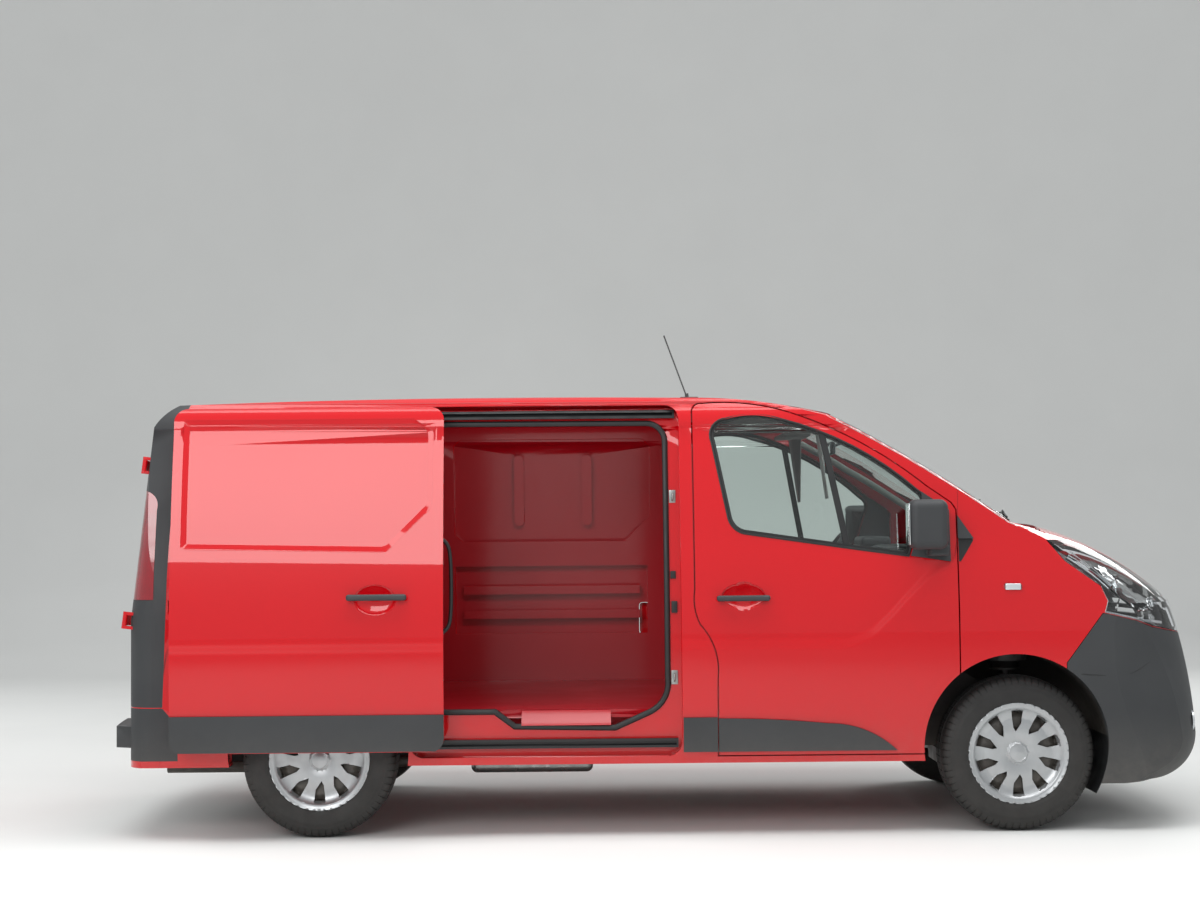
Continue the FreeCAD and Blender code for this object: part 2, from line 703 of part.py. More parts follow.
def bonnet():
    """The bonnet, a shell with two strengthening ribs below."""
    low = hull(0.0, bonnet_wall)
    panel = FRONT.common(BONNET_ZONE).cut(low)
    lip = BONNET_ZONE.cut(behind_arc(bonnet_front_x - bonnet_lip, bonnet_front_r))
    panel = panel.cut(lip.common(hull(0.0, bonnet_lip_wall)))
    return fused([max(panel.Solids, key=lambda s: s.Volume)] + bonnet_hinges())


def front_bumper():
    """The moulded front bumper with its lower intake and lamp recesses."""
    form = NOSE.common(prism_y(BUMPER_OUTLINE, -1100, 1100))
    intake = rounded_along(2100.0, 2600.0, -430.0, 430.0, 330.0, 520.0, 40.0, V(1, 0, 0))
    fogs = [rod((2100.0, y, 462.0), (2600.0, y, 462.0), 52.0) for y in (-700.0, 700.0)]
    form = cut_all(form, [FRONT_ARCH, BONNET_CUT, GRILLE_ZONE, intake] + fogs)
    plugs = [rod((2100.0, y, 462.0), (2600.0, y, 462.0), 52.0).common(hull(16.0)).cut(hull(nose_wall))
             for y in (-700.0, 700.0)]
    return fused([form] + plugs)


def grille():
    """The upper grille and the lower intake's mesh, with slats."""
    core = hull(36.0, 36.0)
    upper = prism_x([(-539.7, 800.3), (539.7, 800.3), (599.7, 1040.0), (-599.7, 1040.0)], 2150, 2600)
    upper = FRONT.common(upper).cut(core).cut(BONNET_CUT).cut(LAMP_SIDE)
    slots = [rounded_along(2150.0, 2600.0, -500.0, 500.0, z, z + 26.0, 12.0, V(1, 0, 0))
             for z in (822.0, 866.0, 910.0, 954.0)]
    lower = FRONT.common(rounded_along(2100.0, 2600.0, -429.7, 429.7, 330.3, 519.7, 39.7, V(1, 0, 0))).cut(core)
    holes = [rounded_along(2100.0, 2600.0, -400.0, 400.0, z, z + 26.0, 12.0, V(1, 0, 0))
             for z in (350.0, 392.0, 434.0, 476.0)]
    return [cut_all(upper, slots), cut_all(lower, holes)]


LAMP_SIDE = Part.makeCompound([
    prism_x([(side * 566.0, 700.0), (side * 1100.0, 700.0), (side * 1100.0, 1400.0), (side * 620.0, 1400.0),
             (side * 596.0, 1040.0)], 1600.0, 2600.0) for side in (-1, 1)])


def headlamps():
    """The headlamps, hollow shells that sweep back into the wings, and the side repeaters."""
    lamp = NOSE.common(LAMP_ZONE).cut(BONNET_CUT).cut(GRILLE_ZONE).common(LAMP_SIDE.Solids[0])
    lamp = max(lamp.Solids, key=lambda s: s.Volume)
    seat = NOSE.common(grown(LAMP_OUTLINE, shut_gap / 2 - seat_gap, -1100, -700)).common(side_core(22.0))
    lamp = lamp.fuse(seat.common(block(1700, 2150, -1100, -700, 940, 1300)).cut(
        prism_y(BUMPER_OUTLINE, -1100, 0)).cut(BONNET_CUT)).removeSplitter()
    repeater = pad([(1511.0, 1098.0), ((1502.0, 1084.0), (1513.0, 1070.0)), (1572.0, 1067.0),
                    ((1583.0, 1080.0), (1570.0, 1096.0))], 6.0)
    return [lamp, mirrored(lamp), repeater, mirrored(repeater)]


def along_axis(shape, base, direction):
    """A shape built upright at the origin, moved to a base point and leant to a direction."""
    direction = V(*direction)
    turn = FreeCAD.Rotation(V(0, 0, 1), direction)
    copy = shape.copy()
    copy.Placement = FreeCAD.Placement(V(*base), turn)
    return copy


def cab_axis_point(z):
    """The right cab door's hinge axis at a height."""
    y = -body_half + cab_hinge_inset + (z - cab_hinge_base_z) * cab_hinge_lean
    return (cab_hinge_x, y, z)


CAB_AXIS = (0.0, cab_hinge_lean, 1.0)


def cab_hinge_pocket_cut():
    """The room round the right cab door's hinge axis that its front edge swings through, behind the wing's skin."""
    drum = along_axis(Part.makeCylinder(cab_hinge_pocket, 790.0), cab_axis_point(660.0), CAB_AXIS)
    return drum.common(side_core(cab_edge_skin))


def cab_hinges_body():
    """The pillar's halves of the right cab door's hinges, with their pins."""
    pieces = []
    half = knuckle_half / 2
    for z in cab_hinge_rows:
        eye = rod((0, 0, -half), (0, 0, half), cab_knuckle_r)
        leaf = block(-4.0, 6.0, 0.0, 70.0, -half, half)
        foot = block(-4.0, 24.0, 46.0, 70.0, -half, half)
        pin = rod((0, 0, -knuckle_half), (0, 0, knuckle_half), pin_r)
        pieces.append(along_axis(fused([eye, leaf, foot, pin]), cab_axis_point(z), CAB_AXIS))
    return pieces


def cab_hinges_door():
    """The door's halves of the right cab door's hinges."""
    pieces = []
    for z in cab_hinge_rows:
        for low in (-knuckle_half, knuckle_half / 2 + seat_gap):
            high = low + knuckle_half / 2 - seat_gap
            eye = rod((0, 0, low), (0, 0, high), cab_knuckle_r)
            leaf = block(-60.0, 0.0, -3.0, 9.0, low, high)
            bore = rod((0, 0, low - 1), (0, 0, high + 1), pin_r + pin_clearance)
            pieces.append(along_axis(fused([eye, leaf]).cut(bore), cab_axis_point(z), CAB_AXIS))
    return pieces


def rear_axis(side):
    """Base point and direction of a rear door's hinge axis. side is 1 for the left door."""
    low = V(rear_hinge_low[0], side * rear_hinge_low[1], rear_hinge_low[2])
    high = V(rear_hinge_high[0], side * rear_hinge_high[1], rear_hinge_high[2])
    return low, high, high - low


def rear_hinges_body():
    """The pillar's halves of the right rear door's hinges: ears that reach out through the trim, with their pins."""
    low, high, run = rear_axis(-1)
    pieces = []
    for base in (low, high):
        pin = rod((0, 0, -knuckle_half - 14.0), (0, 0, knuckle_half + 14.0), pin_r)
        ears = [fused([rod((0, 0, z), (0, 0, z + 14.0), knuckle_r), block(0.0, 78.0, -10.0, 8.0, z, z + 14.0)])
                for z in (-knuckle_half - 14.0, knuckle_half)]
        pieces.append(along_axis(fused([pin] + ears), tuple(base), tuple(run)))
    return pieces


def rear_hinges_door():
    """The right rear door's halves of the hinges: a knuckle and an arm that steps down on to the leaf."""
    low, high, run = rear_axis(-1)
    pieces = []
    reach = knuckle_half - seat_gap
    for base in (low, high):
        eye = rod((0, 0, -reach), (0, 0, reach), knuckle_r)
        arm = block(-9.0, 3.0, 0.0, 104.0, -reach, reach)
        foot = block(-9.0, 34.0, 70.0, 104.0, -reach, reach)
        bore = rod((0, 0, -reach - 1), (0, 0, reach + 1), pin_r + pin_clearance)
        pieces.append(along_axis(fused([eye, arm, foot]).cut(bore), tuple(base), tuple(run)))
    return pieces


def cab_door():
    """The right cab door: skin, inner box with a slimmer window frame, window and glass rebate."""
    slab = side_core(0.0).common(prism_y(CAB_DOOR, -1100, -700))
    skin = slab.cut(side_core(door_skin)).cut(FRONT_ARCH)
    box_zone = grown(CAB_DOOR, -rebate, -1100, -700).cut(block(0, 184, -1100, 0, 1000, 2000))
    wide_arch = rod((front_arch_x, -1100, arch_z), (front_arch_x, -700, arch_z), front_arch_r + rebate)
    box_zone = box_zone.cut(wide_arch).common(block(0, cab_hinge_x - cab_hinge_pocket, -1100, 0, 0, 2000))
    low = slab.common(box_zone).common(block(0, 1400, -1100, 0, 0, 1330)).cut(side_core(cab_door_wall))
    frame = slab.common(grown(CAB_DOOR, -rebate, -1100, -700)).common(block(184, 1400, -1100, 0, 1300, 2000))
    frame = frame.cut(side_core(window_frame_wall))
    edge = block(cab_hinge_x - cab_hinge_pocket, 1400, -1100, -700, 300, 1460).common(side_core(cab_edge_skin))
    door = skin.fuse([low, frame]).cut(edge).cut(prism_y(CAB_WINDOW, -1100, -600))
    rebate_zone = side_core(glass_inset).cut(side_core(glass_inset + 14.0))
    door = door.cut(grown(CAB_WINDOW, 14.0, -1100, -600).common(rebate_zone))
    cup = Part.makeSphere(95.0, V(352.0, -body_half - 62.0, 1056.0))
    return door.cut(cup).fuse(cab_hinges_door()).removeSplitter()


def cab_glass():
    """The right cab door's pane, held in the door's rebate."""
    pane = side_core(glass_inset + seat_gap).cut(side_core(glass_inset + seat_gap + glass_wall))
    return pane.common(grown(CAB_WINDOW, 13.7, -1100, -500))


def pad(outline, thickness):
    """A flat plastic piece that follows the right side's surface."""
    return prism_y(outline, -1150, -700).common(side_core(-thickness)).cut(side_core(-seat_gap))


def cab_trim():
    """The right cab door's mirror, mirror foot, handle and lower moulding."""
    foot = pad([(1150.0, 1508.0), (1270.0, 1426.0), (1270.0, 1196.0), (1095.0, 1222.0), (1155.0, 1420.0)], 12.0)
    arm = rounded_box(1160.0, 1254.0, -1040.0, -935.0, 1222.0, 1272.0, 14.0)
    arm = arm.cut(side_core(-seat_gap))
    head = rounded_box(1064.0, 1234.0, -mirror_reach, -1012.0, 1252.0, 1470.0, 38.0)
    mirror = fused([foot, arm, head])
    bar = rounded_box(230.0, 466.0, -1006.0, -980.0, 1030.0, 1056.0, 11.0)
    feet = [rounded_along(x, x + 34.0, -992.0, -940.0, 1032.0, 1054.0, 8.0, V(0, 1, 0)) for x in (236.0, 426.0)]
    handle = fused([bar] + feet).cut(side_core(-seat_gap))
    handle = max(handle.Solids, key=lambda s: s.Volume)
    moulding = pad([(cab_door_rear_x, 368.0), (cab_door_rear_x, 515.0), ((480.0, 508.0), (721.0, 489.0)),
                    ((890.0, 455.0), (1022.0, 368.0))], moulding_wall)
    return [mirror, handle, moulding]


def slide_door_closed():
    """The sliding door as it would sit when shut."""
    slab = side_core(0.0).common(prism_y(SLIDE_DOOR, -1100, -700))
    inner = slab.common(grown(SLIDE_DOOR, -rebate, -1100, -700)).cut(side_core(slide_door_wall))
    door = slab.cut(side_core(door_skin)).fuse(inner)
    blank = [(24.0, 1790.0), (22.0, 1486.0), (-5.0, 1434.0), (-180.0, 1262.0), (-1080.0, 1283.0),
             (-1080.0, 1850.0), (-60.0, 1850.0)]
    door = door.cut(prism_y(blank, -1100, 0).cut(side_core(6.0)))
    inner_blank = [(-30.0, 1790.0), (-30.0, 1350.0), (-1020.0, 1350.0), (-1020.0, 1790.0)]
    layer = side_core(slide_door_wall - 30.0)
    door = door.cut(prism_y(inner_blank, -1100, 0).common(layer))
    lower_blank = [(-30.0, 620.0), (-30.0, 1220.0), (-1020.0, 1220.0), (-1020.0, 620.0)]
    door = door.cut(prism_y(lower_blank, -1100, 0).common(layer))
    cup = Part.makeSphere(95.0, V(-228.0, -body_half - 62.0, 1070.0))
    return door.cut(cup)


def slide_fittings():
    """The sliding door's outer handle, inner grab handle and moulding, at the door's open place."""
    bar = rounded_box(-350.0, -86.0, -1006.0, -980.0, 1050.0, 1078.0, 12.0)
    feet = [rounded_along(x, x + 36.0, -992.0, -940.0, 1053.0, 1075.0, 8.0, V(0, 1, 0)) for x in (-344.0, -128.0)]
    handle = fused([bar] + feet).cut(side_core(-seat_gap))
    handle = max(handle.Solids, key=lambda s: s.Volume)
    moulding = pad([(slide_front_x, 392.0), (slide_front_x, 552.0), (slide_rear_x, 552.0), (slide_rear_x, 392.0)],
                   moulding_wall).common(prism_y(SLIDE_DOOR, -1100, 0))
    return [handle, moulding]


def channel(x0, x1, z0, z1, outer, inner):
    """A rail that follows the right side between two depths, with a slot along its outer face."""
    bar = block(x0, x1, -1100, -600, z0, z1).common(side_core(outer)).cut(side_core(inner))
    slot = block(x0 + 8.0, x1 - 8.0, -1100, -600, z0 + 11.0, z1 - 11.0).cut(side_core(inner - 6.0))
    return bar.cut(slot)


def roller_arm(x0, x1, z0, z1, outer):
    """An arm from the open sliding door's inner face to a rail whose outer face lies at a depth."""
    reach = moved(side_core(slide_door_wall + seat_gap), y=-slide_offset)
    return block(x0, x1, -1100, -700, z0, z1).common(reach).cut(side_core(outer - seat_gap))


def door_rails():
    """Upper, lower and centre rails with the roller arms that carry the open sliding door."""
    behind = slide_door_wall - 24.0 - seat_gap
    pieces = [channel(-1112.0, 58.0, low, high, 28.0, behind) for low, high in rail_rows]
    pieces.append(channel(-2186.0, -1140.0, centre_rail[0], centre_rail[1], 8.0, 29.7))
    pieces.append(roller_arm(-1090.0, -1030.0, 1856.0, 1868.0, 28.0))
    pieces.append(roller_arm(-1090.0, -1030.0, 428.0, 444.0, 28.0).fuse(
        block(-1090.0, -1030.0, -938.0, -905.0, 400.0, 444.0).cut(side_core(28.0 - seat_gap))))
    pieces.append(roller_arm(-2110.0, -2050.0, 1020.0, 1040.0, 8.0))
    return pieces


def floor_pan():
    """Load floor with wheel boxes, rails and crossmembers, and the lashing bolts' holes."""
    under = load_floor_z - floor_thickness
    load = INSIDE.common(block(-2330.0, bulkhead_x + 60.0, -900, 900, under, load_floor_z))
    boxes = []
    for side in (-1, 1):
        out_y = side * 900.0
        in_y = side * wheel_box_y
        outer = rod((rear_axle_x, out_y, arch_z), (rear_axle_x, in_y, arch_z), rear_arch_r + box_wall)
        inner = rod((rear_axle_x, out_y, arch_z), (rear_axle_x, in_y + side * box_wall, arch_z), rear_arch_r)
        load = load.cut(inner)
        boxes.append(outer.cut(inner).common(block(-2400, -600, -1000, 1000, under, 900)).common(INSIDE))
    pan = fused([load] + boxes)
    posts = block(-2600, -2232, rear_opening_half - seat_gap, 1000, 500, 1900)
    pan = pan.cut(posts).cut(mirrored(posts))
    low_z = load_floor_z - floor_step
    step = block(bulkhead_x + 40.0, bulkhead_x + 60.0, -862, 862, cab_floor_z - 20.0, low_z).common(INSIDE)
    rails = [rounded_along(-2290.0, bulkhead_x + 60.0, side * 520.0 - 35.0, side * 520.0 + 35.0, rail_z, under + 2.0,
                           12.0, V(1, 0, 0)) for side in (-1, 1)]
    cross = [block(x - 40.0, x + 40.0, -520.0, 520.0, cross_z, under + 2.0) for x in (-2240.0, -1000.0, -200.0)]
    holes = [rod((x, side * lashing_y, under - 10.0), (x, side * lashing_y, load_floor_z + 10.0), lashing_hole_r)
             for x in lashing_rows for side in (-1, 1)]
    ledge = block(bulkhead_x - seat_gap, bulkhead_x + 100.0, -1000, 1000, low_z, low_z + 20.0)
    return cut_all(fused([pan, step] + rails + cross).cut(ledge), holes)


def cab_floor():
    """The cab floor, from the step at the bulkhead to the firewall, between the wheel housings."""
    cab = INSIDE.common(block(bulkhead_x + 60.0 + seat_gap, firewall_x - seat_gap, -900, 900,
                              cab_floor_z - 20.0, cab_floor_z))
    arch = rod((front_arch_x, -1100, arch_z), (front_arch_x, 1100, arch_z), front_arch_r + liner_wall + seat_gap)
    middle = arch_inner_y - liner_wall - seat_gap
    return cab.cut(arch.cut(block(1000, 2000, -middle, middle, 0, 2000)))


def bulkhead():
    """The steel bulkhead behind the seats, pressed with upright ribs."""
    foot_z = load_floor_z - floor_step + seat_gap
    panel = INSIDE.common(block(bulkhead_x, bulkhead_x + 26.0, -900, 900, foot_z, 2000))
    grooves = [rounded_along(bulkhead_x - 1.0, bulkhead_x + 12.0, y - 60.0, y + 60.0, 700.0, 1750.0, 50.0, V(1, 0, 0))
               for y in (-600.0, -300.0, 0.0, 300.0, 600.0)]
    return cut_all(panel, grooves)


def rear_bumper():
    """The rear bumper with its step."""
    zone = rear_bumper_zone().cut(rear_leaf_zone(shut_gap))
    shell = TAIL.common(zone).common(block(-2600, -2000, -1100, 1100, 348, 580))
    shell = shell.cut(shell_core(40.0, 40.0))
    top = rear_door_bottom_z - shut_gap
    tread = prism_z([(-2360.0, -870.0), (-2445.0, -830.0), ((-nose_x, 0.0), (-2445.0, 830.0)), (-2360.0, 870.0)],
                    400.0, top - 16.0)
    step = tread.cut(block(-2600, -2000, -450, 450, top - 26.0, 600))
    return fused([shell.common(block(-2600, -2000, -1100, 1100, 348, 580)), step])


def rear_door_shell():
    """Both rear doors as one: outer flange and deeper inner box."""
    flange_part = rear_layer(door_skin).common(rear_leaf_zone())
    box_part = rear_layer(rear_door_wall).common(rear_leaf_zone(0.0, rebate))
    box_part = box_part.common(block(-2600, -2000, -rear_opening_half + 8.0, rear_opening_half - 8.0,
                                     load_floor_z + 8.0, rear_door_top_z - 24.0))
    shell = flange_part.fuse(box_part)
    recess = prism_x([(-640.0, 1300.0), (640.0, 1300.0), (600.0, 1790.0), (-600.0, 1790.0)], -2600, -2100)
    return shell.cut(recess.common(rear_layer(6.0)))


def rear_door(side):
    """One leaf with its hinge arms. side is 1 for the left leaf, -1 for the right."""
    low, high = (rear_door_split_y + shut_gap / 2, 1000.0) if side > 0 else (-1000.0, rear_door_split_y - shut_gap / 2)
    leaf = REAR_SHELL.common(block(-2600, -2000, low, high, 400, 2000))
    if side > 0:
        box_gap = block(-2600, -2000, low, low + 24.0, 400, 2000)
    else:
        box_gap = block(-2600, -2000, high - 24.0, high, 400, 2000)
    leaf = leaf.cut(box_gap.cut(rear_layer(door_skin)))
    arms = rear_hinges_door()
    if side > 0:
        arms = [mirrored(arm) for arm in arms]
    keep = TAIL.cut(rear_layer(door_skin))
    return fused([leaf] + [arm.cut(keep) for arm in arms])


def rear_lug_room():
    """The openings in the right corner trim that the hinge ears pass through."""
    low, high, run = rear_axis(-1)
    reach = knuckle_half + 14.0 + seat_gap
    room = block(-20.0, 90.0, -knuckle_r - 1.0, knuckle_r + 1.0, -reach, reach)
    return along_axis(room, tuple(low), tuple(run)).fuse(along_axis(room, tuple(high), tuple(run)))


def corner_trims():
    """The grey corner trims, from the bumper to the roof, with the tail lamps' pockets."""
    trim = corner_layer(trim_wall)
    pocket = tail_lamp_zone(1.0)
    trim = trim.cut(pocket).cut(rear_lug_room())
    trim = max(trim.Solids, key=lambda s: s.Volume)
    return [trim, mirrored(trim)]


def tail_lamp_zone(gap=0.0):
    """The tail lamp's outline in side view, carried across the corner."""
    return prism_y([(-2600.0, 1058.0 - gap), (-2256.0 + gap, 1058.0 - gap), (-2247.0 + gap, 1456.0),
                    ((-2262.0 + gap, 1520.0), (-2300.0, 1540.0 + gap)), (-2600.0, 1546.0 + gap)],
                   -1100.0, -rear_door_half - shut_gap - 2.0)


def tail_lamps():
    """The slim upright tail lamps in the corner trims."""
    lamp = corner_layer(trim_wall - 0.3).common(tail_lamp_zone())
    lamp = max(lamp.Solids, key=lambda s: s.Volume)
    return [lamp, mirrored(lamp)]


def side_mouldings():
    """Grey mouldings low on the body sides, and the mirror foot's front part on the wings."""
    pillar = pad([(80.0, 368.0), (80.0, 520.0), (cab_door_rear_x - shut_gap, 520.0), (cab_door_rear_x - shut_gap, 368.0)],
                 moulding_wall)
    rear = pad([(-2140.0, 368.0), (-1945.0, 368.0), (-1915.0, 520.0), (-2140.0, 520.0)], moulding_wall)
    rear = rear.cut(REAR_ARCH)
    quarter = pad([(76.0, 368.0), (76.0, 520.0), (-1115.0, 520.0), (-1100.0, 368.0)], moulding_wall)
    quarter = quarter.cut(rod((rear_axle_x, -1100, arch_z), (rear_axle_x, 1100, arch_z), rear_arch_r + 12.0))
    corner = pad([(cab_door_front_x + shut_gap, 1400.0), (1375.0, 1297.0), (cab_door_front_x + shut_gap + 10.0, 1297.0),
                  (cab_door_front_x + shut_gap, 1300.0)], 12.0)
    return [pillar, mirrored(fused([pillar, quarter])), mirrored(rear), corner, mirrored(corner)]


def tyre():
    """A tyre round the Y axis at the origin: a revolved section with shoulders, sidewalls and three grooves."""
    half = tyre_width / 2
    r = axle_height
    profile = [
        (24.0 - half, rim_radius + 5.5),
        (19.9 - half, rim_radius + 16.6),
        (8.9 - half, rim_radius + 20.6),
        ((-half, 262.0), (12.0 - half, r - 26.0)),
        ((20.0 - half, r - 12.0), (34.0 - half, r - 5.0)),
        (-46.0, r - 2.0),
        (-46.0, r - 9.0),
        (-38.0, r - 9.0),
        (-38.0, r - 1.4),
        (-4.0, r),
        (-4.0, r - 8.0),
        (4.0, r - 8.0),
        (4.0, r),
        (38.0, r - 1.4),
        (38.0, r - 9.0),
        (46.0, r - 9.0),
        (46.0, r - 2.0),
        (half - 34.0, r - 5.0),
        ((half - 20.0, r - 12.0), (half - 12.0, r - 26.0)),
        ((half, 262.0), (half - 8.9, rim_radius + 20.6)),
        (half - 19.9, rim_radius + 16.6),
        (half - 24.0, rim_radius + 5.5),
        (half - 34.0, rim_radius + 6.0),
        ((0.0, r - 26.0), (34.0 - half, rim_radius + 6.0)),
    ]
    return Part.Face(wire(profile, lambda a, b: V(0, a, b))).revolve(V(0, 0, 0), V(0, 1, 0), 360)


def revolved(profile):
    """A body turned round the Y axis from a profile (across, radius)."""
    return Part.Face(wire(profile, lambda a, b: V(0, a, b))).revolve(V(0, 0, 0), V(0, 1, 0), 360)


def wheel():
    """Rim, disc, brake disc and the ten-window cover of a left wheel at the origin, its cover towards +Y."""
    edge = rim_radius
    rim = [(-96.0, edge + 16.0), (-88.0, edge + 16.0), (-84.0, edge + 5.0), (-30.0, edge - 12.0),
           (60.0, edge - 12.0), (84.0, edge + 5.0), (88.0, edge + 16.0), (96.0, edge + 16.0),
           (94.0, edge - 2.0), (64.0, edge - 19.0), (-32.0, edge - 19.0), (-92.0, edge - 2.0)]
    disc = [(30.0, 0.0), (30.0, 72.0), (52.0, 100.0), (56.0, 150.0), (36.0, edge - 16.0),
            (30.0, edge - 16.0), (50.0, 150.0), (46.0, 104.0), (20.0, 78.0), (-14.0, 70.0), (-14.0, 0.0)]
    cover = [(62.0, 0.0), (62.0, 46.0), ((70.0, 100.0), (64.0, 150.0)), ((72.0, 185.0), (82.0, edge + 2.0)),
             (98.0, edge + 20.0), (101.0, edge + 16.0), (92.0, edge - 6.0), ((80.0, 180.0), (74.0, 150.0)),
             ((80.0, 100.0), (74.0, 50.0)), (80.0, 42.0), (80.0, 0.0)]
    window = [(94.0, -8.0), (112.0, -18.0), (189.0, -26.0), ((192.0, 0.0), (189.0, 26.0)), (132.0, 19.0)]
    face = revolved(cover)
    windows = []
    for i in range(cover_windows):
        opening = Part.Face(wire(window, lambda a, b: V(b, 40.0, a))).extrude(V(0, 80.0, 0))
        opening.rotate(V(0, 0, 0), V(0, 1, 0), 360.0 / cover_windows * i)
        windows.append(opening)
    face = face.cut(Part.makeCompound(windows))
    post = rod((0, 25.0, 0), (0, 66.0, 0), 30.0)
    brake = ring((0, -14.0, 0), (0, 2.0, 0), 140.0, 50.0)
    bore = rod((0, -30.0, 0), (0, 40.0, 0), spindle_r + bearing_gap)
    return fused([revolved(rim), revolved(disc), face, post, brake]).cut(bore)


def spare_wheel():
    """The spare wheel, flat below the load floor, on its hanger."""
    half = tyre_width / 2
    r = 330.0
    profile = [(30.0, 0.0), (30.0, 120.0), (0.0, 150.0), (0.0, 190.0), (half - 24.0, 205.0), (half - 4.0, 250.0),
               (half - 12.0, r - 14.0), (half - 34.0, r), (34.0 - half, r), (12.0 - half, r - 14.0),
               (4.0 - half, 250.0), (24.0 - half, 205.0), (-14.0, 190.0), (-14.0, 150.0), (10.0, 110.0), (10.0, 0.0)]
    body = revolved(profile)
    body.rotate(V(0, 0, 0), V(1, 0, 0), 90)
    body = moved(body, spare_x, 0.0, spare_z)
    hanger = rod((spare_x, 0, spare_z - 20.0), (spare_x, 0, load_floor_z - floor_thickness - seat_gap), 26.0)
    return fused([body, hanger])


def knuckle(side):
    """A front knuckle with its wheel spindle and steering arm. side is 1 on the left."""
    k = side * kingpin_y
    tip = side * (front_track / 2 + 38.0)
    spindle = rod((front_axle_x, k, axle_height), (front_axle_x, tip, axle_height), spindle_r)
    carrier = rounded_box(front_axle_x - 45.0, front_axle_x + 45.0, k - side * 36.0, k + side * 26.0,
                          carrier_low_z, carrier_top_z, 14.0)
    arm = rod((front_axle_x, k - side * 20.0, axle_height), (front_axle_x - 150.0, k - side * 40.0, axle_height), 13.0)
    return fused([spindle, carrier, arm])


def front_suspension():
    """Lower and upper arms with the dampers and coils that stand on the lower arms."""
    pieces = []
    x = front_axle_x
    for side in (-1, 1):
        root = side * (subframe_half + seat_gap)
        end = side * kingpin_y
        low = prism_z([(x - 130.0, root), (x + 130.0, root), (x + 30.0, end), ((x, end + side * 30.0), (x - 30.0, end))],
                      222.0, 246.0)
        low_ball = rod((x, end, 222.0), (x, end, carrier_low_z - seat_gap), 24.0)
        damper = rod((x, side * strut_y, 240.0), (x, side * strut_y, tower_top_z - seat_gap), strut_r)
        coil = ring((x, side * strut_y, 705.0), (x, side * strut_y, 838.0), coil_r, coil_r - 14.0)
        seat = rod((x, side * strut_y, 698.0), (x, side * strut_y, 706.0), coil_r + 6.0)
        pieces.append(fused([low, low_ball, damper, coil, seat]))
        wall = side * (arch_inner_y + seat_gap)
        high = prism_z([(x - 70.0, wall), (x + 70.0, wall), (x + 60.0, side * 680.0), (x + 26.0, end),
                        ((x, end + side * 26.0), (x - 26.0, end)), (x - 60.0, side * 680.0)], 461.0, 481.0)
        high_ball = rod((x, end, carrier_top_z + seat_gap), (x, end, 481.0), 22.0)
        hole = rod((x, side * strut_y, 450.0), (x, side * strut_y, 500.0), strut_r + 8.0)
        pieces.append(fused([high, high_ball]).cut(hole))
    return pieces


def front_subframe():
    """The cross frame below the engine, with posts up to the nose rails."""
    frame = block(1330.0, 1800.0, -subframe_half, subframe_half, 222.0, 290.0)
    frame = frame.cut(block(1430.0, 1700.0, -300.0, 300.0, 200.0, 300.0))
    posts = [block(x - 35.0, x + 35.0, side * 440.0 - 30.0, side * 440.0 + 30.0, 280.0, cross_z - seat_gap)
             for x in (1375.0, 1755.0) for side in (-1, 1)]
    return fused([frame] + posts)


def engine_bay():
    """Firewall, wheel-arch liners, strut towers and nose rails."""
    wide = 840.0
    firewall = prism_y([(firewall_x, cab_floor_z - 20.0), (firewall_x, 1010.0), (1500.0, 1240.0), (1508.0, 1234.0),
                        (firewall_x + 10.0, 1004.0), (firewall_x + 10.0, cab_floor_z - 20.0)], -wide, wide)
    middle = arch_inner_y - liner_wall
    arch = FRONT_ARCH.cut(block(1000, 2100, -middle, middle, 0, 1000))
    pieces = [firewall.cut(arch)]
    keep = block(1100, 2000, -1000, 1000, arch_z - 40.0, 900)
    pillar_x = cab_door_front_x + shut_gap + seat_gap
    room = side_core(side_wall + seat_gap).common(block(1000, pillar_x, -1100, 10, 0, 1000)).fuse(
        side_core(nose_wall + seat_gap).common(block(pillar_x, 2100, -1100, 10, 0, 1000)))
    liner = ring((front_arch_x, -middle, arch_z), (front_arch_x, -940.0, arch_z), front_arch_r + liner_wall,
                 front_arch_r).common(room)
    for side in (-1, 1):
        wall_disc = rod((front_arch_x, side * middle, arch_z), (front_arch_x, side * arch_inner_y, arch_z),
                        front_arch_r + liner_wall)
        base = (front_axle_x, side * strut_y)
        tower = ring(base + (740.0,), base + (tower_top_z + 5.0,), tower_r, tower_r - 8.0)
        cap = rod(base + (tower_top_z,), base + (tower_top_z + 8.0,), tower_r)
        hole = rod(base + (700.0,), base + (tower_top_z,), tower_r - 8.0)
        own = liner if side < 0 else mirrored(liner)
        pieces.append(fused([fused([own.common(keep), wall_disc.common(keep)]).cut(hole), tower, cap]))
    rails = [block(firewall_x + 4.0, 2330.0, side * 440.0 - 40.0, side * 440.0 + 40.0, cross_z, 530.0)
             for side in (-1, 1)]
    return fused(pieces + rails)


def engine_block():
    """Engine and gearbox across the bay, and the radiator between the rails."""
    block_body = rounded_box(1500.0, 1960.0, -300.0, 360.0, 330.0, 880.0, 20.0)
    gearbox = rounded_box(1560.0, 1900.0, -370.0, -280.0, 350.0, 640.0, 18.0)
    feet = [rod((x, y, 290.0 + seat_gap), (x, y, 345.0), 30.0)
            for x, y in ((1750.0, -200.0), (1750.0, 200.0))]
    radiator = block(2225.0, 2275.0, -400.0 + seat_gap, 400.0 - seat_gap, 400.0, 830.0)
    return [fused([block_body, gearbox] + feet), radiator]


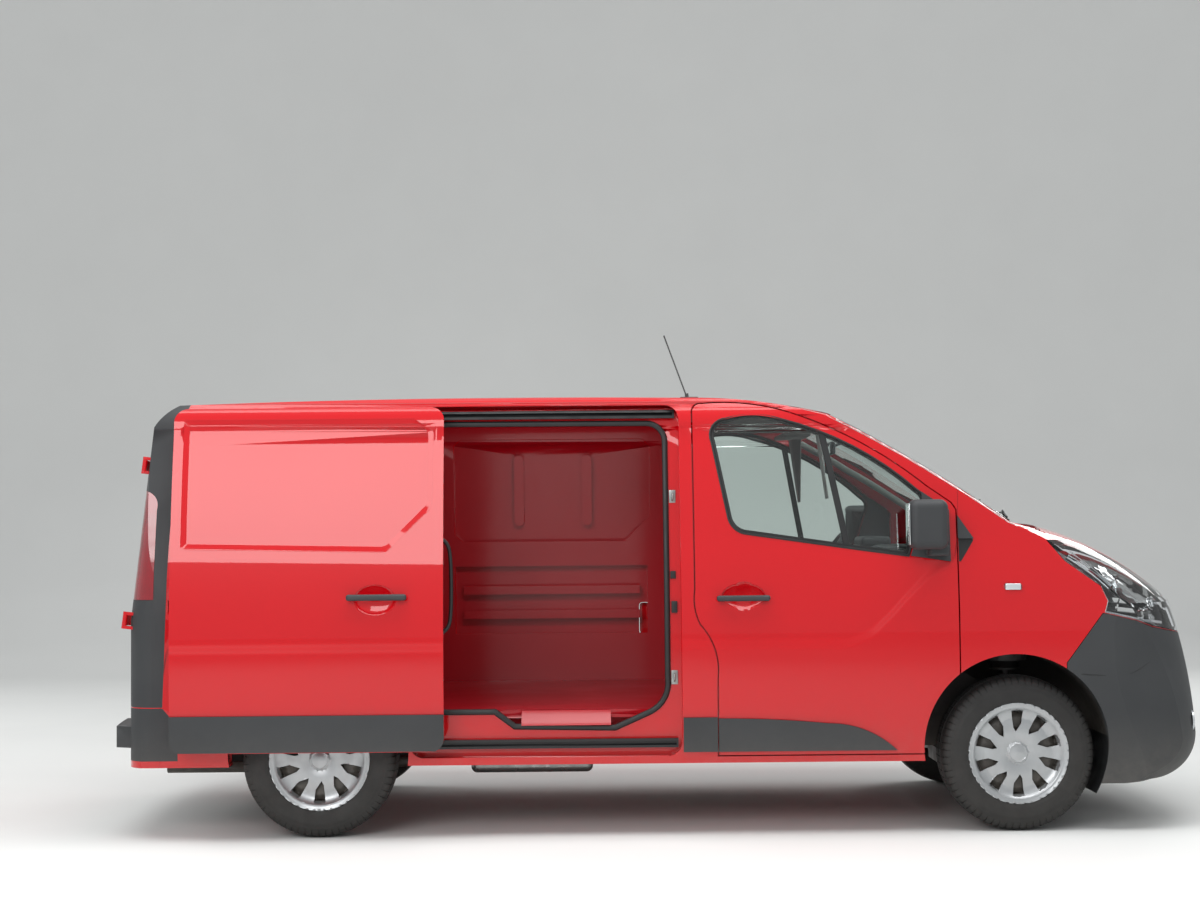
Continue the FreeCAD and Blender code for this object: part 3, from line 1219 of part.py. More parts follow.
def exhaust():
    """The exhaust pipe with its silencer, hung from the crossmembers and the rail."""
    path = [(1290.0, -150.0), (-1020.0, -150.0), (-1500.0, -430.0), (-2300.0, -430.0)]
    z = 262.0
    pipes = [rod(a + (z,), b + (z,), 26.0) for a, b in zip(path, path[1:])]
    bends = [Part.makeSphere(26.0, V(x, y, z)) for x, y in path[1:-1]]
    silencer = rounded_box(-900.0, -320.0, -260.0, -50.0, 200.0, 330.0, 30.0)
    hangers = [rod((x, y, z), (x, y, cross_z - seat_gap), 8.0)
               for x, y in ((-200.0, -150.0), (-1000.0, -150.0), (-2240.0, -430.0))]
    return fused(pipes + bends + [silencer] + hangers)


def fuel_tank():
    """The fuel tank below the cab floor."""
    top = cab_floor_z - 20.0 - seat_gap
    return rounded_along(-120.0, 620.0, 60.0, 470.0, 235.0, top, 28.0, V(1, 0, 0))


def rear_axle():
    """The twist beam with its trailing arms, brackets, springs and wheel spindles."""
    pieces = [rod((beam_x, -600.0, 350.0), (beam_x, 600.0, 350.0), 42.0)]
    for side in (-1, 1):
        tip = side * (rear_track / 2 + 38.0)
        arm = prism_y([(arm_pivot_x + 40.0, 372.0), ((arm_pivot_x + 62.0, 395.0), (arm_pivot_x + 40.0, 418.0)),
                       (beam_x, 400.0), (rear_axle_x + 30.0, 395.0), ((rear_axle_x - 55.0, 343.0),
                       (rear_axle_x + 30.0, 292.0)), (beam_x, 300.0)], side * 585.0, side * 625.0)
        spindle = rod((rear_axle_x, side * 600.0, axle_height), (rear_axle_x, tip, axle_height), spindle_r)
        bracket = block(arm_pivot_x - 5.0, arm_pivot_x + 60.0, side * 490.0, side * 548.0, 376.0, rail_z - seat_gap)
        bush = rod((arm_pivot_x + 30.0, side * 500.0, 395.0), (arm_pivot_x + 30.0, side * 620.0, 395.0), 16.0)
        spring_x, spring_y = rear_axle_x + 60.0, side * 534.0
        pan = rod((spring_x, spring_y, 318.0), (spring_x, spring_y, 334.0), 54.0)
        coil = ring((spring_x, spring_y, 330.0), (spring_x, spring_y, rail_z - seat_gap), 47.0, 36.0)
        pieces += [arm, spindle, bracket, bush, pan, coil]
    return fused(pieces)


def antenna():
    """The roof antenna on its plinth, its mast leaning to the rear."""
    plinth = rounded_along(antenna_x - 46.0, antenna_x + 44.0, -26.0, 26.0, 1930.0, 1998.0, 20.0, V(0, 0, 1))
    plinth = plinth.cut(moved(hull(), z=seat_gap))
    mast = rod((antenna_x - 10.0, 0.0, 1990.0), antenna_tip, 3.5)
    foot = rod((antenna_x - 10.0, 0.0, 1985.0), (antenna_x - 14.0, 0.0, 2016.0), 9.0)
    return fused([plinth, foot, mast])


RAKE = math.radians(steering_rake)


def on_column(distance):
    """A point on the steering column's axis, at a distance ahead of the wheel's centre."""
    return (steering_wheel_x + distance * math.cos(RAKE), steering_wheel_y,
            steering_wheel_z - distance * math.sin(RAKE))


def dashboard():
    """The dashboard across the cab with the steering column's housing and spigot."""
    low = 742.0
    body = prism_y([(firewall_x - seat_gap, low), (1130.0, low), ((1012.0, 770.0), (1000.0, 900.0)),
                    ((1002.0, 1100.0), (1050.0, 1205.0)), ((1092.0, 1252.0), (1170.0, 1262.0)), (1470.0, 1262.0),
                    (1488.0, 1240.0), (firewall_x - seat_gap, 1012.0)], -858.0, 858.0)
    hollow = prism_y([(firewall_x, low + 40.0), (1150.0, low + 40.0), ((1062.0, 800.0), (1050.0, 900.0)),
                      ((1052.0, 1080.0), (1090.0, 1170.0)), (1180.0, 1212.0), (1430.0, 1212.0), (firewall_x, 1060.0)],
                     -818.0, 818.0)
    body = body.cut(hollow.common(block(0, firewall_x - 30.0, -900, 900, 0, 2000)))
    body = body.common(section(side_wall + seat_gap))
    housing = rod(on_column(42.0), on_column(190.0), 40.0)
    spigot = rod(on_column(0.0), on_column(60.0), 12.0)
    return fused([body, housing, spigot])


def steering_wheel():
    """The steering wheel: a rim, three spokes and a hub bored for the column's spigot."""
    rim = Part.makeTorus(steering_wheel_r - 15.0, 15.0)
    hub = rod((0, 0, -26.0), (0, 0, 24.0), 56.0)
    spokes = [block(0.0, steering_wheel_r - 18.0, -17.0, 17.0, -10.0, 6.0) for _ in range(3)]
    for spoke, turn in zip(spokes, (0.0, 180.0, 270.0)):
        spoke.rotate(V(0, 0, 0), V(0, 0, 1), turn)
    body = fused([rim, hub] + spokes)
    body = body.cut(rod((0, 0, -40.0), (0, 0, 6.0), 12.0 + bearing_gap))
    column = V(-math.cos(RAKE), 0, math.sin(RAKE))
    across = V(0, 1, 0)
    upright = column.cross(across)
    body.Placement = FreeCAD.Placement(V(*on_column(0.0)), FreeCAD.Rotation(across, upright, column, "ZXY"))
    return body


def seats():
    """The driver's seat on the left and the passengers' bench on the right."""
    pieces = []
    for y0, y1, places in ((200.0, 720.0, 1), (-800.0, 90.0, 2)):
        base = rounded_along(330.0, 690.0, y0 + 40.0, y1 - 40.0, cab_floor_z + seat_gap, 720.0, 20.0, V(0, 0, 1))
        cushion = rounded_box(270.0, 780.0, y0, y1, 700.0, 848.0, 40.0)
        back = prism_y([(262.0, 800.0), (380.0, 800.0), ((330.0, 1100.0), (268.0, 1390.0)), ((240.0, 1428.0),
                        (200.0, 1400.0))], y0 + 10.0, y1 - 10.0)
        heads = []
        step = (y1 - y0) / places
        for i in range(places):
            middle = y0 + step * (i + 0.5)
            heads.append(rounded_box(196.0, 262.0, middle - 130.0, middle + 130.0, 1440.0, 1590.0, 26.0))
            heads.append(block(224.0, 236.0, middle - 60.0, middle - 48.0, 1380.0, 1470.0))
            heads.append(block(224.0, 236.0, middle + 48.0, middle + 60.0, 1380.0, 1470.0))
        pieces.append(fused([base, cushion, back] + heads))
    return pieces


REAR_SHELL = rear_door_shell()
SIDE_BASE = side_base()

save("side_right", side_right())
save("side_left", side_left())
save("fuel_flap", fuel_flap())
save("roof_panel", roof_panel())
save("windscreen", windscreen())
save("scuttle", scuttle())
save("wipers", wipers())
save("antenna", antenna())
save("front_wings", front_wings())
save("bonnet", bonnet())
save("front_bumper", front_bumper())
save("grille", grille())
save("headlamps", headlamps())
CAB_DOOR_RIGHT = cab_door()
save("cab_door_right", CAB_DOOR_RIGHT)
save("cab_door_left", mirrored(CAB_DOOR_RIGHT))
CAB_GLASS = cab_glass()
save("cab_glass_right", CAB_GLASS)
save("cab_glass_left", mirrored(CAB_GLASS))
CAB_TRIM = cab_trim()
save("cab_trim_right", CAB_TRIM)
save("cab_trim_left", [mirrored(s) for s in CAB_TRIM])
save("sliding_door", moved(slide_door_closed(), x=-slide_travel, y=-slide_offset))
save("sliding_door_fittings", [moved(s, x=-slide_travel, y=-slide_offset) for s in slide_fittings()])
save("door_rails", door_rails())
save("floor_pan", floor_pan())
save("cab_floor", cab_floor())
save("bulkhead", bulkhead())
save("rear_bumper", rear_bumper())
save("rear_door_left", rear_door(1))
save("rear_door_right", rear_door(-1))
save("corner_trims", corner_trims())
save("tail_lamps", tail_lamps())
save("side_mouldings", side_mouldings())
TYRE = tyre()
WHEEL = wheel()
for end, axle_x, track in (("front", front_axle_x, front_track), ("rear", rear_axle_x, rear_track)):
    for name, side in (("left", 1), ("right", -1)):
        turned = WHEEL if side > 0 else mirrored(WHEEL)
        save("tyre_" + end + "_" + name, moved(TYRE, axle_x, side * track / 2, axle_height))
        save("wheel_" + end + "_" + name, moved(turned, axle_x, side * track / 2, axle_height))
save("knuckle_left", knuckle(1))
save("knuckle_right", knuckle(-1))
save("front_suspension", front_suspension())
save("front_subframe", front_subframe())
save("engine_bay", engine_bay())
save("engine_block", engine_block())
save("exhaust", exhaust())
save("fuel_tank", fuel_tank())
save("rear_axle", rear_axle())
save("spare_wheel", spare_wheel())
save("dashboard", dashboard())
save("steering_wheel", steering_wheel())
save("seats", seats())
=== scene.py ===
"""A panel van: every CAD piece dressed in its real material, with the small pieces the solids leave out."""

import json
import logging
import math
from collections.abc import Callable
from dataclasses import dataclass, field
from enum import Enum

import bpy
import numpy as np
from mathutils import Matrix, Vector
from mathutils.bvhtree import BVHTree
from mathutils.kdtree import KDTree

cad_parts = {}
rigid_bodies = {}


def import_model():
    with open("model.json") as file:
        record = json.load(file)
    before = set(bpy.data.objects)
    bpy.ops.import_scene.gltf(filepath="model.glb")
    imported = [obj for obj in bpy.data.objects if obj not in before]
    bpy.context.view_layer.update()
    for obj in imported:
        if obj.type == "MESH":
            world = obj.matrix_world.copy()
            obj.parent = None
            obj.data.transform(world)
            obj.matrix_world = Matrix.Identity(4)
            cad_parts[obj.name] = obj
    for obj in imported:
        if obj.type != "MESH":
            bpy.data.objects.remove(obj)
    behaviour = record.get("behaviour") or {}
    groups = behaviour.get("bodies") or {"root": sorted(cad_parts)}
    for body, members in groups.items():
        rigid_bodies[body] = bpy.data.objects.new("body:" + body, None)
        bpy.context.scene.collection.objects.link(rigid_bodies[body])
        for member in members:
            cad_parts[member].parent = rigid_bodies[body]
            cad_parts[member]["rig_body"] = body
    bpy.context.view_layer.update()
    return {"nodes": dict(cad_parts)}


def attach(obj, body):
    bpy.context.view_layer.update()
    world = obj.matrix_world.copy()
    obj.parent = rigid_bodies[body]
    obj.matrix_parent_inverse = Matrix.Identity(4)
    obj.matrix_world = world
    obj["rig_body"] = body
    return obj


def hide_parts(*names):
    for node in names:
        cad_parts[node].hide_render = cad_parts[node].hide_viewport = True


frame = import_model()

LOG = logging.getLogger("van")
MM = 0.001
FULL_TURN = 2.0 * math.pi
FRONT_AXLE_X = 1566.5
REAR_AXLE_X = -1531.5
FRONT_TRACK = 1615.0
REAR_TRACK = 1628.0
AXLE_Z = 343.0
FRONT_ARCH_X = 1550.5
ARCH_Z = 378.0
SLIDE_BACK = -1040.0
# The line pressed along the body's side: heights along x, sunk out of sight past the doors' ends.
SHOULDER = [(-2240.0, 0.0), (-2180.0, 842.0), (236.0, 842.0), (760.0, 840.0), (880.0, 868.0), (980.0, 945.0),
            (1073.0, 1042.0), (1180.0, 1145.0), (1290.0, 1225.0), (1318.0, 1600.0)]
SHOULDER_TOP = 1600.0
SHOULDER_HALF = 34.0
SHOULDER_DEPTH = 12.0
# The view, in pixels, that places seen by the camera are given in.
VIEW_WIDTH = 1200.0
VIEW_HEIGHT = 900.0
# Rays at the windscreen start above the roof, and hits below its foot are left out, in millimetres.
ABOVE_ROOF = 2300.0
SCREEN_FOOT = 1200.0
CAB_DOORS = ("cab_door_r", "cab_door_l")
# Places behind the right lamp lie on the near side of this y, in metres; the others missed it.
LAMP_MISS_Y = -1.2


def mm(*values: float) -> Vector:
    """A point in metres from millimetres."""
    return Vector([v * MM for v in values])


def linear(colour: str) -> tuple[float, float, float, float]:
    """An sRGB hex colour as linear RGBA."""
    parts = [int(colour[i:i + 2], 16) / 255 for i in (1, 3, 5)]
    red, green, blue = [c / 12.92 if c <= 0.04045 else ((c + 0.055) / 1.055) ** 2.4 for c in parts]
    return red, green, blue, 1.0


def add_node(tree: bpy.types.NodeTree, kind: str, settings: dict | None = None, values: dict | None = None,
             links: dict | None = None) -> bpy.types.Node:
    """Adds a node with its settings and links.

    Args:
        tree: the material's node tree.
        kind: the node's type.
        settings: attributes of the node.
        values: values of inputs, by name or index.
        links: output sockets that feed inputs, by name or index.

    Returns:
        The new node.
    """
    new = tree.nodes.new(kind)
    for key, value in (settings or {}).items():
        setattr(new, key, value)
    for key, value in (values or {}).items():
        new.inputs[key].default_value = value
    for key, source in (links or {}).items():
        tree.links.new(source, new.inputs[key])
    return new


class Relief(Enum):
    """The fine relief that a way of making leaves on a surface."""

    PEEL = "peel"
    GRAIN = "grain"
    WEAVE = "weave"
    CAST = "cast"
    FLUTED = "fluted"


@dataclass(frozen=True)
class Finish:
    """One real material: its two tones, gloss and relief, with sizes in millimetres."""

    name: str
    slot: str
    colour: str
    second: str
    patch: float = 400.0
    roughness: float = 0.5
    spread: float = 0.08
    metallic: float = 0.0
    coat: float = 0.0
    coat_roughness: float = 0.03
    ior: float = 1.5
    transmission: float = 0.0
    sheen: float = 0.0
    specular: float = 0.5
    relief: Relief = Relief.GRAIN
    pitch: float = 3.0
    depth: float = 0.1
    dust: float = 0.0
    dust_top: float = 700.0
    shoulder: bool = False

    def pattern(self, tree: bpy.types.NodeTree, where: bpy.types.NodeSocket) -> bpy.types.NodeSocket:
        """The height pattern of the relief.

        Args:
            tree: the material's node tree.
            where: Object coordinates in metres.

        Returns:
            The socket with the height.
        """
        scale = 1000.0 / self.pitch
        if self.relief is Relief.WEAVE:
            bands = [add_node(tree, "ShaderNodeTexWave", {"wave_type": "BANDS", "bands_direction": axis},
                              {"Scale": scale / 20.0, "Distortion": 0.4, "Detail": 1.0}, {"Vector": where})
                     for axis in ("Y", "DIAGONAL")]
            both = add_node(tree, "ShaderNodeMath", {"operation": "MULTIPLY"}, None,
                            {0: bands[0].outputs["Fac"], 1: bands[1].outputs["Fac"]})
            return both.outputs[0]
        if self.relief is Relief.FLUTED:
            return add_node(tree, "ShaderNodeTexWave", {"wave_type": "BANDS", "bands_direction": "Z"},
                            {"Scale": scale / 20.0}, {"Vector": where}).outputs["Fac"]
        if self.relief is Relief.PEEL:
            return add_node(tree, "ShaderNodeTexNoise", None, {"Scale": scale, "Detail": 1.0},
                            {"Vector": where}).outputs["Fac"]
        if self.relief is Relief.CAST:
            return add_node(tree, "ShaderNodeTexNoise", None, {"Scale": scale, "Detail": 6.0, "Roughness": 0.7},
                            {"Vector": where}).outputs["Fac"]
        return add_node(tree, "ShaderNodeTexVoronoi", {"feature": "SMOOTH_F1"}, {"Scale": scale, "Randomness": 1.0},
                        {"Vector": where}).outputs["Distance"]

    def shoulder_line(self, tree: bpy.types.NodeTree, where: bpy.types.NodeSocket) -> bpy.types.NodeSocket:
        """The soft pressed line along the body's side, which rises over the cab door.

        Args:
            tree: the material's node tree.
            where: Object coordinates in metres.

        Returns:
            The bent normal.
        """
        axes = add_node(tree, "ShaderNodeSeparateXYZ", None, None, {0: where}).outputs
        rear, front = SHOULDER[0][0], SHOULDER[-1][0]
        share = add_node(tree, "ShaderNodeMapRange", None, {"From Min": rear * MM, "From Max": front * MM},
                         {"Value": axes["X"]}).outputs[0]
        curve = add_node(tree, "ShaderNodeFloatCurve", None, None, {"Value": share})
        line = curve.mapping.curves[0]
        for i, (x, z) in enumerate(SHOULDER[:1] + SHOULDER[-1:] + SHOULDER[1:-1]):
            place = ((x - rear) / (front - rear), z / SHOULDER_TOP)
            point = line.points[i] if i < 2 else line.points.new(*place)
            point.location = place
            point.handle_type = "AUTO_CLAMPED"
        curve.mapping.update()
        level = add_node(tree, "ShaderNodeMath", {"operation": "MULTIPLY"}, {1: SHOULDER_TOP * MM},
                         {0: curve.outputs[0]}).outputs[0]
        above = add_node(tree, "ShaderNodeMath", {"operation": "SUBTRACT"}, None, {0: axes["Z"], 1: level}).outputs[0]
        step = add_node(tree, "ShaderNodeMapRange", {"interpolation_type": "SMOOTHERSTEP"},
                        {"From Min": -SHOULDER_HALF * MM, "From Max": SHOULDER_HALF * MM, "To Min": 1.0,
                         "To Max": 0.0}, {"Value": above}).outputs[0]
        return add_node(tree, "ShaderNodeBump", None, {"Distance": SHOULDER_DEPTH * MM}, {"Height": step}).outputs[0]

    def make(self) -> bpy.types.Material:
        """Builds the material's nodes.

        Returns:
            The material.
        """
        material = bpy.data.materials.new(self.name)
        material.use_nodes = True
        tree = material.node_tree
        tree.nodes.clear()
        where = add_node(tree, "ShaderNodeTexCoord").outputs["Object"]
        patches = add_node(tree, "ShaderNodeTexNoise", None, {"Scale": 1000.0 / self.patch, "Detail": 3.0},
                           {"Vector": where}).outputs["Fac"]
        colour = add_node(tree, "ShaderNodeMix", {"data_type": "RGBA"},
                          {6: linear(self.colour), 7: linear(self.second)}, {0: patches}).outputs[2]
        rough = add_node(tree, "ShaderNodeMapRange", None,
                         {"From Min": 0.3, "From Max": 0.7, "To Min": max(self.roughness - self.spread, 0.0),
                          "To Max": min(self.roughness + self.spread, 1.0)}, {"Value": patches}).outputs[0]
        if self.dust:
            height = add_node(tree, "ShaderNodeSeparateXYZ", None, None, {0: where}).outputs["Z"]
            low = add_node(tree, "ShaderNodeMapRange", {"interpolation_type": "SMOOTHSTEP"},
                           {"From Min": self.dust_top * MM, "From Max": 0.15, "To Min": 0.0, "To Max": self.dust},
                           {"Value": height}).outputs[0]
            specks = add_node(tree, "ShaderNodeTexNoise", None, {"Scale": 22.0, "Detail": 8.0, "Roughness": 0.7},
                              {"Vector": where}).outputs["Fac"]
            amount = add_node(tree, "ShaderNodeMath", {"operation": "MULTIPLY", "use_clamp": True}, None,
                              {0: low, 1: specks}).outputs[0]
            colour = add_node(tree, "ShaderNodeMix", {"data_type": "RGBA"}, {7: linear("#8d857a")},
                              {0: amount, 6: colour}).outputs[2]
        under = {"Normal": self.shoulder_line(tree, where)} if self.shoulder else {}
        bump = add_node(tree, "ShaderNodeBump", None, {"Strength": 1.0, "Distance": self.depth * MM},
                        {"Height": self.pattern(tree, where), **under}).outputs[0]
        shader = add_node(tree, "ShaderNodeBsdfPrincipled", None,
                          {"Metallic": self.metallic, "IOR": self.ior, "Transmission Weight": self.transmission,
                           "Coat Weight": self.coat, "Coat Roughness": self.coat_roughness,
                           "Sheen Weight": self.sheen, "Specular IOR Level": self.specular},
                          {"Base Color": colour, "Roughness": rough, "Normal": bump}).outputs[0]
        add_node(tree, "ShaderNodeOutputMaterial", None, None, {"Surface": shader})
        return material


# Sprayed solid enamel under clear lacquer: sharp reflections with a faint orange peel, dusty near the road.
PAINT = Finish("red_enamel_lacquered", "body_paint", "#c8000f", "#be000d", 900.0, 0.3, 0.03, coat=1.0,
               coat_roughness=0.02, specular=0.1, relief=Relief.PEEL, pitch=4.0, depth=0.006, dust=0.22, dust_top=620.0,
               shoulder=True)
# The same enamel without polish on the inner pressings: duller and dry-sprayed. Its darker red is painted shade of the
# load space and cab, which get light only through the openings.
INNER_PAINT = Finish("red_enamel_dry_spray_painted_shade", "body_paint", "#ad0b1c", "#9c0918", 500.0, 0.34, 0.06, coat=0.5,
                     coat_roughness=0.12, specular=0.3, relief=Relief.PEEL, pitch=3.0, depth=0.02, dust=0.12,
                     dust_top=600.0)
# Moulded polypropylene with an etched leather grain, drawn at 2.5 mm so that it shows: matt, dusty low down.
GREY_PLASTIC = Finish("polypropylene_grained", "grey_plastic", "#36383a", "#2e3032", 300.0, 0.62, 0.06,
                      pitch=2.5, depth=0.12, dust=0.3, dust_top=560.0)
# Satin moulded ABS of the cab's trim, in two greys.
CAB_PLASTIC = Finish("abs_cab_trim", "cab_plastic", "#3b3d40", "#333538", 250.0, 0.55, 0.06, pitch=2.0, depth=0.08)
PALE_TRIM = Finish("moulded_headlining_felt", "cab_plastic", "#8f8f8d", "#838381", 120.0, 0.85, 0.05, sheen=0.3,
                   relief=Relief.CAST, pitch=3.0, depth=0.1)
# Extruded EPDM weather strip: near black, slightly waxy.
SEAL = Finish("epdm_rubber", "grey_plastic", "#141516", "#1b1c1d", 90.0, 0.5, 0.1, relief=Relief.CAST, pitch=1.5,
              depth=0.04)
# Vulcanised tyre rubber: dark, dull, with road dust in its relief.
TYRE_RUBBER = Finish("tyre_rubber", "tyre_rubber", "#151516", "#1b1b1b", 60.0, 0.66, 0.08, relief=Relief.CAST,
                     pitch=2.0, depth=0.08, dust=0.1, dust_top=900.0)
# Silver lacquer on injection-moulded ABS: fine metal flake under a thin clear coat.
SILVER = Finish("silver_lacquer_on_abs", "wheel_silver", "#b4b7b9", "#a9acae", 40.0, 0.36, 0.06, 0.75, coat=0.4,
                coat_roughness=0.08, relief=Relief.PEEL, pitch=1.2, depth=0.01, dust=0.12, dust_top=900.0)
# Cathodic dip coat on pressed steel: flat black with a thin film of brake dust.
BLACK_STEEL = Finish("dip_coated_steel", "chassis_steel", "#17181a", "#25221f", 80.0, 0.5, 0.12, relief=Relief.CAST,
                     pitch=3.0, depth=0.05, dust=0.5, dust_top=800.0)
# Zinc-plated steel: bright grey with a cloudy passivation.
ZINC = Finish("zinc_plated_steel", "bare_steel", "#a8aaa9", "#8f928f", 30.0, 0.34, 0.1, 1.0, relief=Relief.CAST,
              pitch=1.5, depth=0.02)
# Sand-cast aluminium of the engine: pale grey and rough.
CAST = Finish("cast_aluminium", "cast_engine", "#6f7173", "#585a5b", 60.0, 0.6, 0.1, 0.8, relief=Relief.CAST,
              pitch=2.5, depth=0.25)
# Flat-woven polyester seat cloth: thread spacing drawn at 3 mm so that it shows.
CLOTH = Finish("woven_polyester", "seat_cloth", "#3a3d42", "#2f3237", 25.0, 0.9, 0.05, sheen=0.5,
               relief=Relief.WEAVE, pitch=3.0, depth=0.35)
# Tempered soda-lime glass: clear with a faint green body colour.
GLASS = Finish("tempered_glass", "clear_glass", "#eef6f3", "#eaf3f0", 900.0, 0.0, 0.0, ior=1.45, transmission=1.0,
               relief=Relief.PEEL, pitch=60.0, depth=0.002)
# Hard-coated polycarbonate of the lamp covers.
LENS = Finish("polycarbonate_clear", "lamp_lens", "#f2f4f5", "#eceff1", 900.0, 0.02, 0.01, ior=1.5, transmission=1.0,
              relief=Relief.PEEL, pitch=40.0, depth=0.003)
# Moulded red acrylic with fine optics behind its face.
RED_LENS = Finish("red_acrylic", "tail_lens", "#7a0410", "#93061a", 70.0, 0.12, 0.04, coat=1.0, coat_roughness=0.03,
                  relief=Relief.FLUTED, pitch=12.0, depth=0.25)
CLEAR_OPTIC = Finish("fluted_acrylic", "lamp_lens", "#d4d8da", "#c2c7ca", 30.0, 0.12, 0.04, 0.3, coat=0.8,
                     relief=Relief.FLUTED, pitch=7.0, depth=0.5)
# Vacuum-metallised reflector: bright, with slight ripple.
CHROME = Finish("vacuum_metallised_abs", "wheel_silver", "#d9dcde", "#cdd0d2", 50.0, 0.08, 0.03, 1.0,
                relief=Relief.PEEL, pitch=18.0, depth=0.03)
MIRROR = Finish("silvered_glass", "clear_glass", "#dfe3e4", "#d6dadb", 300.0, 0.02, 0.01, 1.0, relief=Relief.PEEL,
                pitch=60.0, depth=0.002)
# Satin black paint on small steel fittings.
SATIN_BLACK = Finish("black_powder_coat", "bare_steel", "#17181a", "#1e1f21", 60.0, 0.38, 0.08, pitch=1.5, depth=0.05)
# Unprinted aluminium plate with a white enamel face.
PLATE = Finish("enamelled_plate", "grey_plastic", "#d8d9d6", "#cfd0cc", 80.0, 0.4, 0.06, relief=Relief.PEEL,
               pitch=6.0, depth=0.02)

FINISHES: dict[str, bpy.types.Material] = {}


def material_of(finish: Finish) -> bpy.types.Material:
    """The built material of a finish, made once."""
    if finish.name not in FINISHES:
        FINISHES[finish.name] = finish.make()
    return FINISHES[finish.name]


def activate(obj: bpy.types.Object) -> None:
    """Selects one object alone and makes it active."""
    bpy.ops.object.select_all(action="DESELECT")
    obj.select_set(True)
    bpy.context.view_layer.objects.active = obj


def smooth(obj: bpy.types.Object, angle: float = 32.0) -> None:
    """Shades an object smooth up to an angle in degrees."""
    activate(obj)
    bpy.ops.object.shade_smooth_by_angle(angle=math.radians(angle), keep_sharp_edges=False)


def settle(obj: bpy.types.Object) -> None:
    """Puts an object's place into its mesh."""
    activate(obj)
    bpy.ops.object.transform_apply(location=True, rotation=True, scale=True)


def outward(obj: bpy.types.Object, distance: float = 0.0001) -> None:
    """Merges doubles and turns the faces outwards."""
    activate(obj)
    bpy.ops.object.mode_set(mode="EDIT")
    bpy.ops.mesh.select_all(action="SELECT")
    bpy.ops.mesh.remove_doubles(threshold=distance)
    bpy.ops.mesh.normals_make_consistent(inside=False)
    bpy.ops.object.mode_set(mode="OBJECT")


def apply_modifier(obj: bpy.types.Object, kind: str, **settings: object) -> None:
    """Adds a modifier with its settings and applies it."""
    activate(obj)
    modifier = obj.modifiers.new(kind.title(), kind)
    for key, value in settings.items():
        setattr(modifier, key, value)
    bpy.ops.object.modifier_apply(modifier=modifier.name)


def dress(obj: bpy.types.Object, finish: Finish, body: str) -> bpy.types.Object:
    """Gives a new piece its material and body.

    Args:
        obj: the piece.
        finish: its finish.
        body: the CAD body it moves with.

    Returns:
        The piece.
    """
    obj.data.materials.clear()
    obj.data.materials.append(material_of(finish))
    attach(obj, body)
    return obj


def body_of(node: str) -> str:
    """The CAD body that a node rides on."""
    return frame["nodes"][node]["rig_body"]


def merged_copy(node: str, name: str, angle: float = 30.0) -> bpy.types.Object:
    """A copy of a CAD node with its doubles merged and shaded smooth up to an angle."""
    obj = bpy.data.objects.new(name, frame["nodes"][node].data.copy())
    bpy.context.scene.collection.objects.link(obj)
    activate(obj)
    bpy.ops.object.mode_set(mode="EDIT")
    bpy.ops.mesh.select_all(action="SELECT")
    bpy.ops.mesh.remove_doubles(threshold=0.00002)
    bpy.ops.object.mode_set(mode="OBJECT")
    smooth(obj, angle)
    return obj


def paint_faces(obj: bpy.types.Object, finish: Finish, test: Callable[[Vector, Vector], bool]) -> None:
    """Gives the faces that pass a test another finish.

    Args:
        obj: the piece.
        finish: the other finish.
        test: takes a face's centre in millimetres and its normal.
    """
    obj.data.materials.append(material_of(finish))
    index = len(obj.data.materials) - 1
    for face in obj.data.polygons:
        if test(face.center / MM, face.normal):
            face.material_index = index


def grid(name: str, rows: list[list[Vector]]) -> bpy.types.Object:
    """A sheet of faces through rows of points, from a grid primitive shaped to them.

    Args:
        name: the piece's name.
        rows: rows of as many points each, in metres.

    Returns:
        The new object.
    """
    across, along = len(rows[0]), len(rows)
    bpy.ops.object.select_all(action="DESELECT")
    bpy.ops.mesh.primitive_grid_add(x_subdivisions=across - 1, y_subdivisions=along - 1, size=1.0)
    obj = bpy.context.object
    obj.name = name
    order = sorted(obj.data.vertices, key=lambda v: (round(v.co.y, 4), round(v.co.x, 4)))
    for vertex, point in zip(order, [p for row in rows for p in row]):
        vertex.co = point
    return obj


def ribbon(name: str, rows: list[list[Vector]], thickness: float, closed: bool = False,
           towards: Vector = Vector((0, 0, 0))) -> bpy.types.Object:
    """A strip with thickness, its top face through rows of points.

    Args:
        name: the piece's name.
        rows: rows across the strip, in metres.
        thickness: in millimetres, below the rows.
        closed: joins the last row to the first.
        towards: a point on the inner side, where the thickness goes.

    Returns:
        The new object.
    """
    obj = grid(name, rows + [rows[0]] if closed else rows)
    outward(obj, 0.00001)
    mesh = obj.data
    face = max(mesh.polygons, key=lambda f: f.area)
    if face.normal.dot(face.center - towards) < 0:
        mesh.flip_normals()
    apply_modifier(obj, "SOLIDIFY", thickness=thickness * MM, offset=-1.0, use_even_offset=True)
    smooth(obj, 40.0)
    return obj


def turned(name: str, profile: list[tuple[float, float]], centre: Vector, axis: Vector, steps: int = 48,
           angle: float = 36.0) -> bpy.types.Object:
    """A piece spun round an axis from a profile of (along the axis, radius) in millimetres."""
    side = axis.orthogonal().normalized()
    bpy.ops.object.select_all(action="DESELECT")
    bpy.ops.mesh.primitive_circle_add(vertices=len(profile), radius=1.0)
    obj = bpy.context.object
    obj.name = name
    for vertex, (along, radius) in zip(obj.data.vertices, profile):
        vertex.co = centre + axis * along * MM + side * radius * MM
    bpy.ops.object.mode_set(mode="EDIT")
    bpy.ops.mesh.select_all(action="SELECT")
    bpy.ops.mesh.spin(steps=steps, angle=FULL_TURN, center=centre, axis=axis)
    bpy.ops.object.mode_set(mode="OBJECT")
    outward(obj)
    smooth(obj, angle)
    return obj


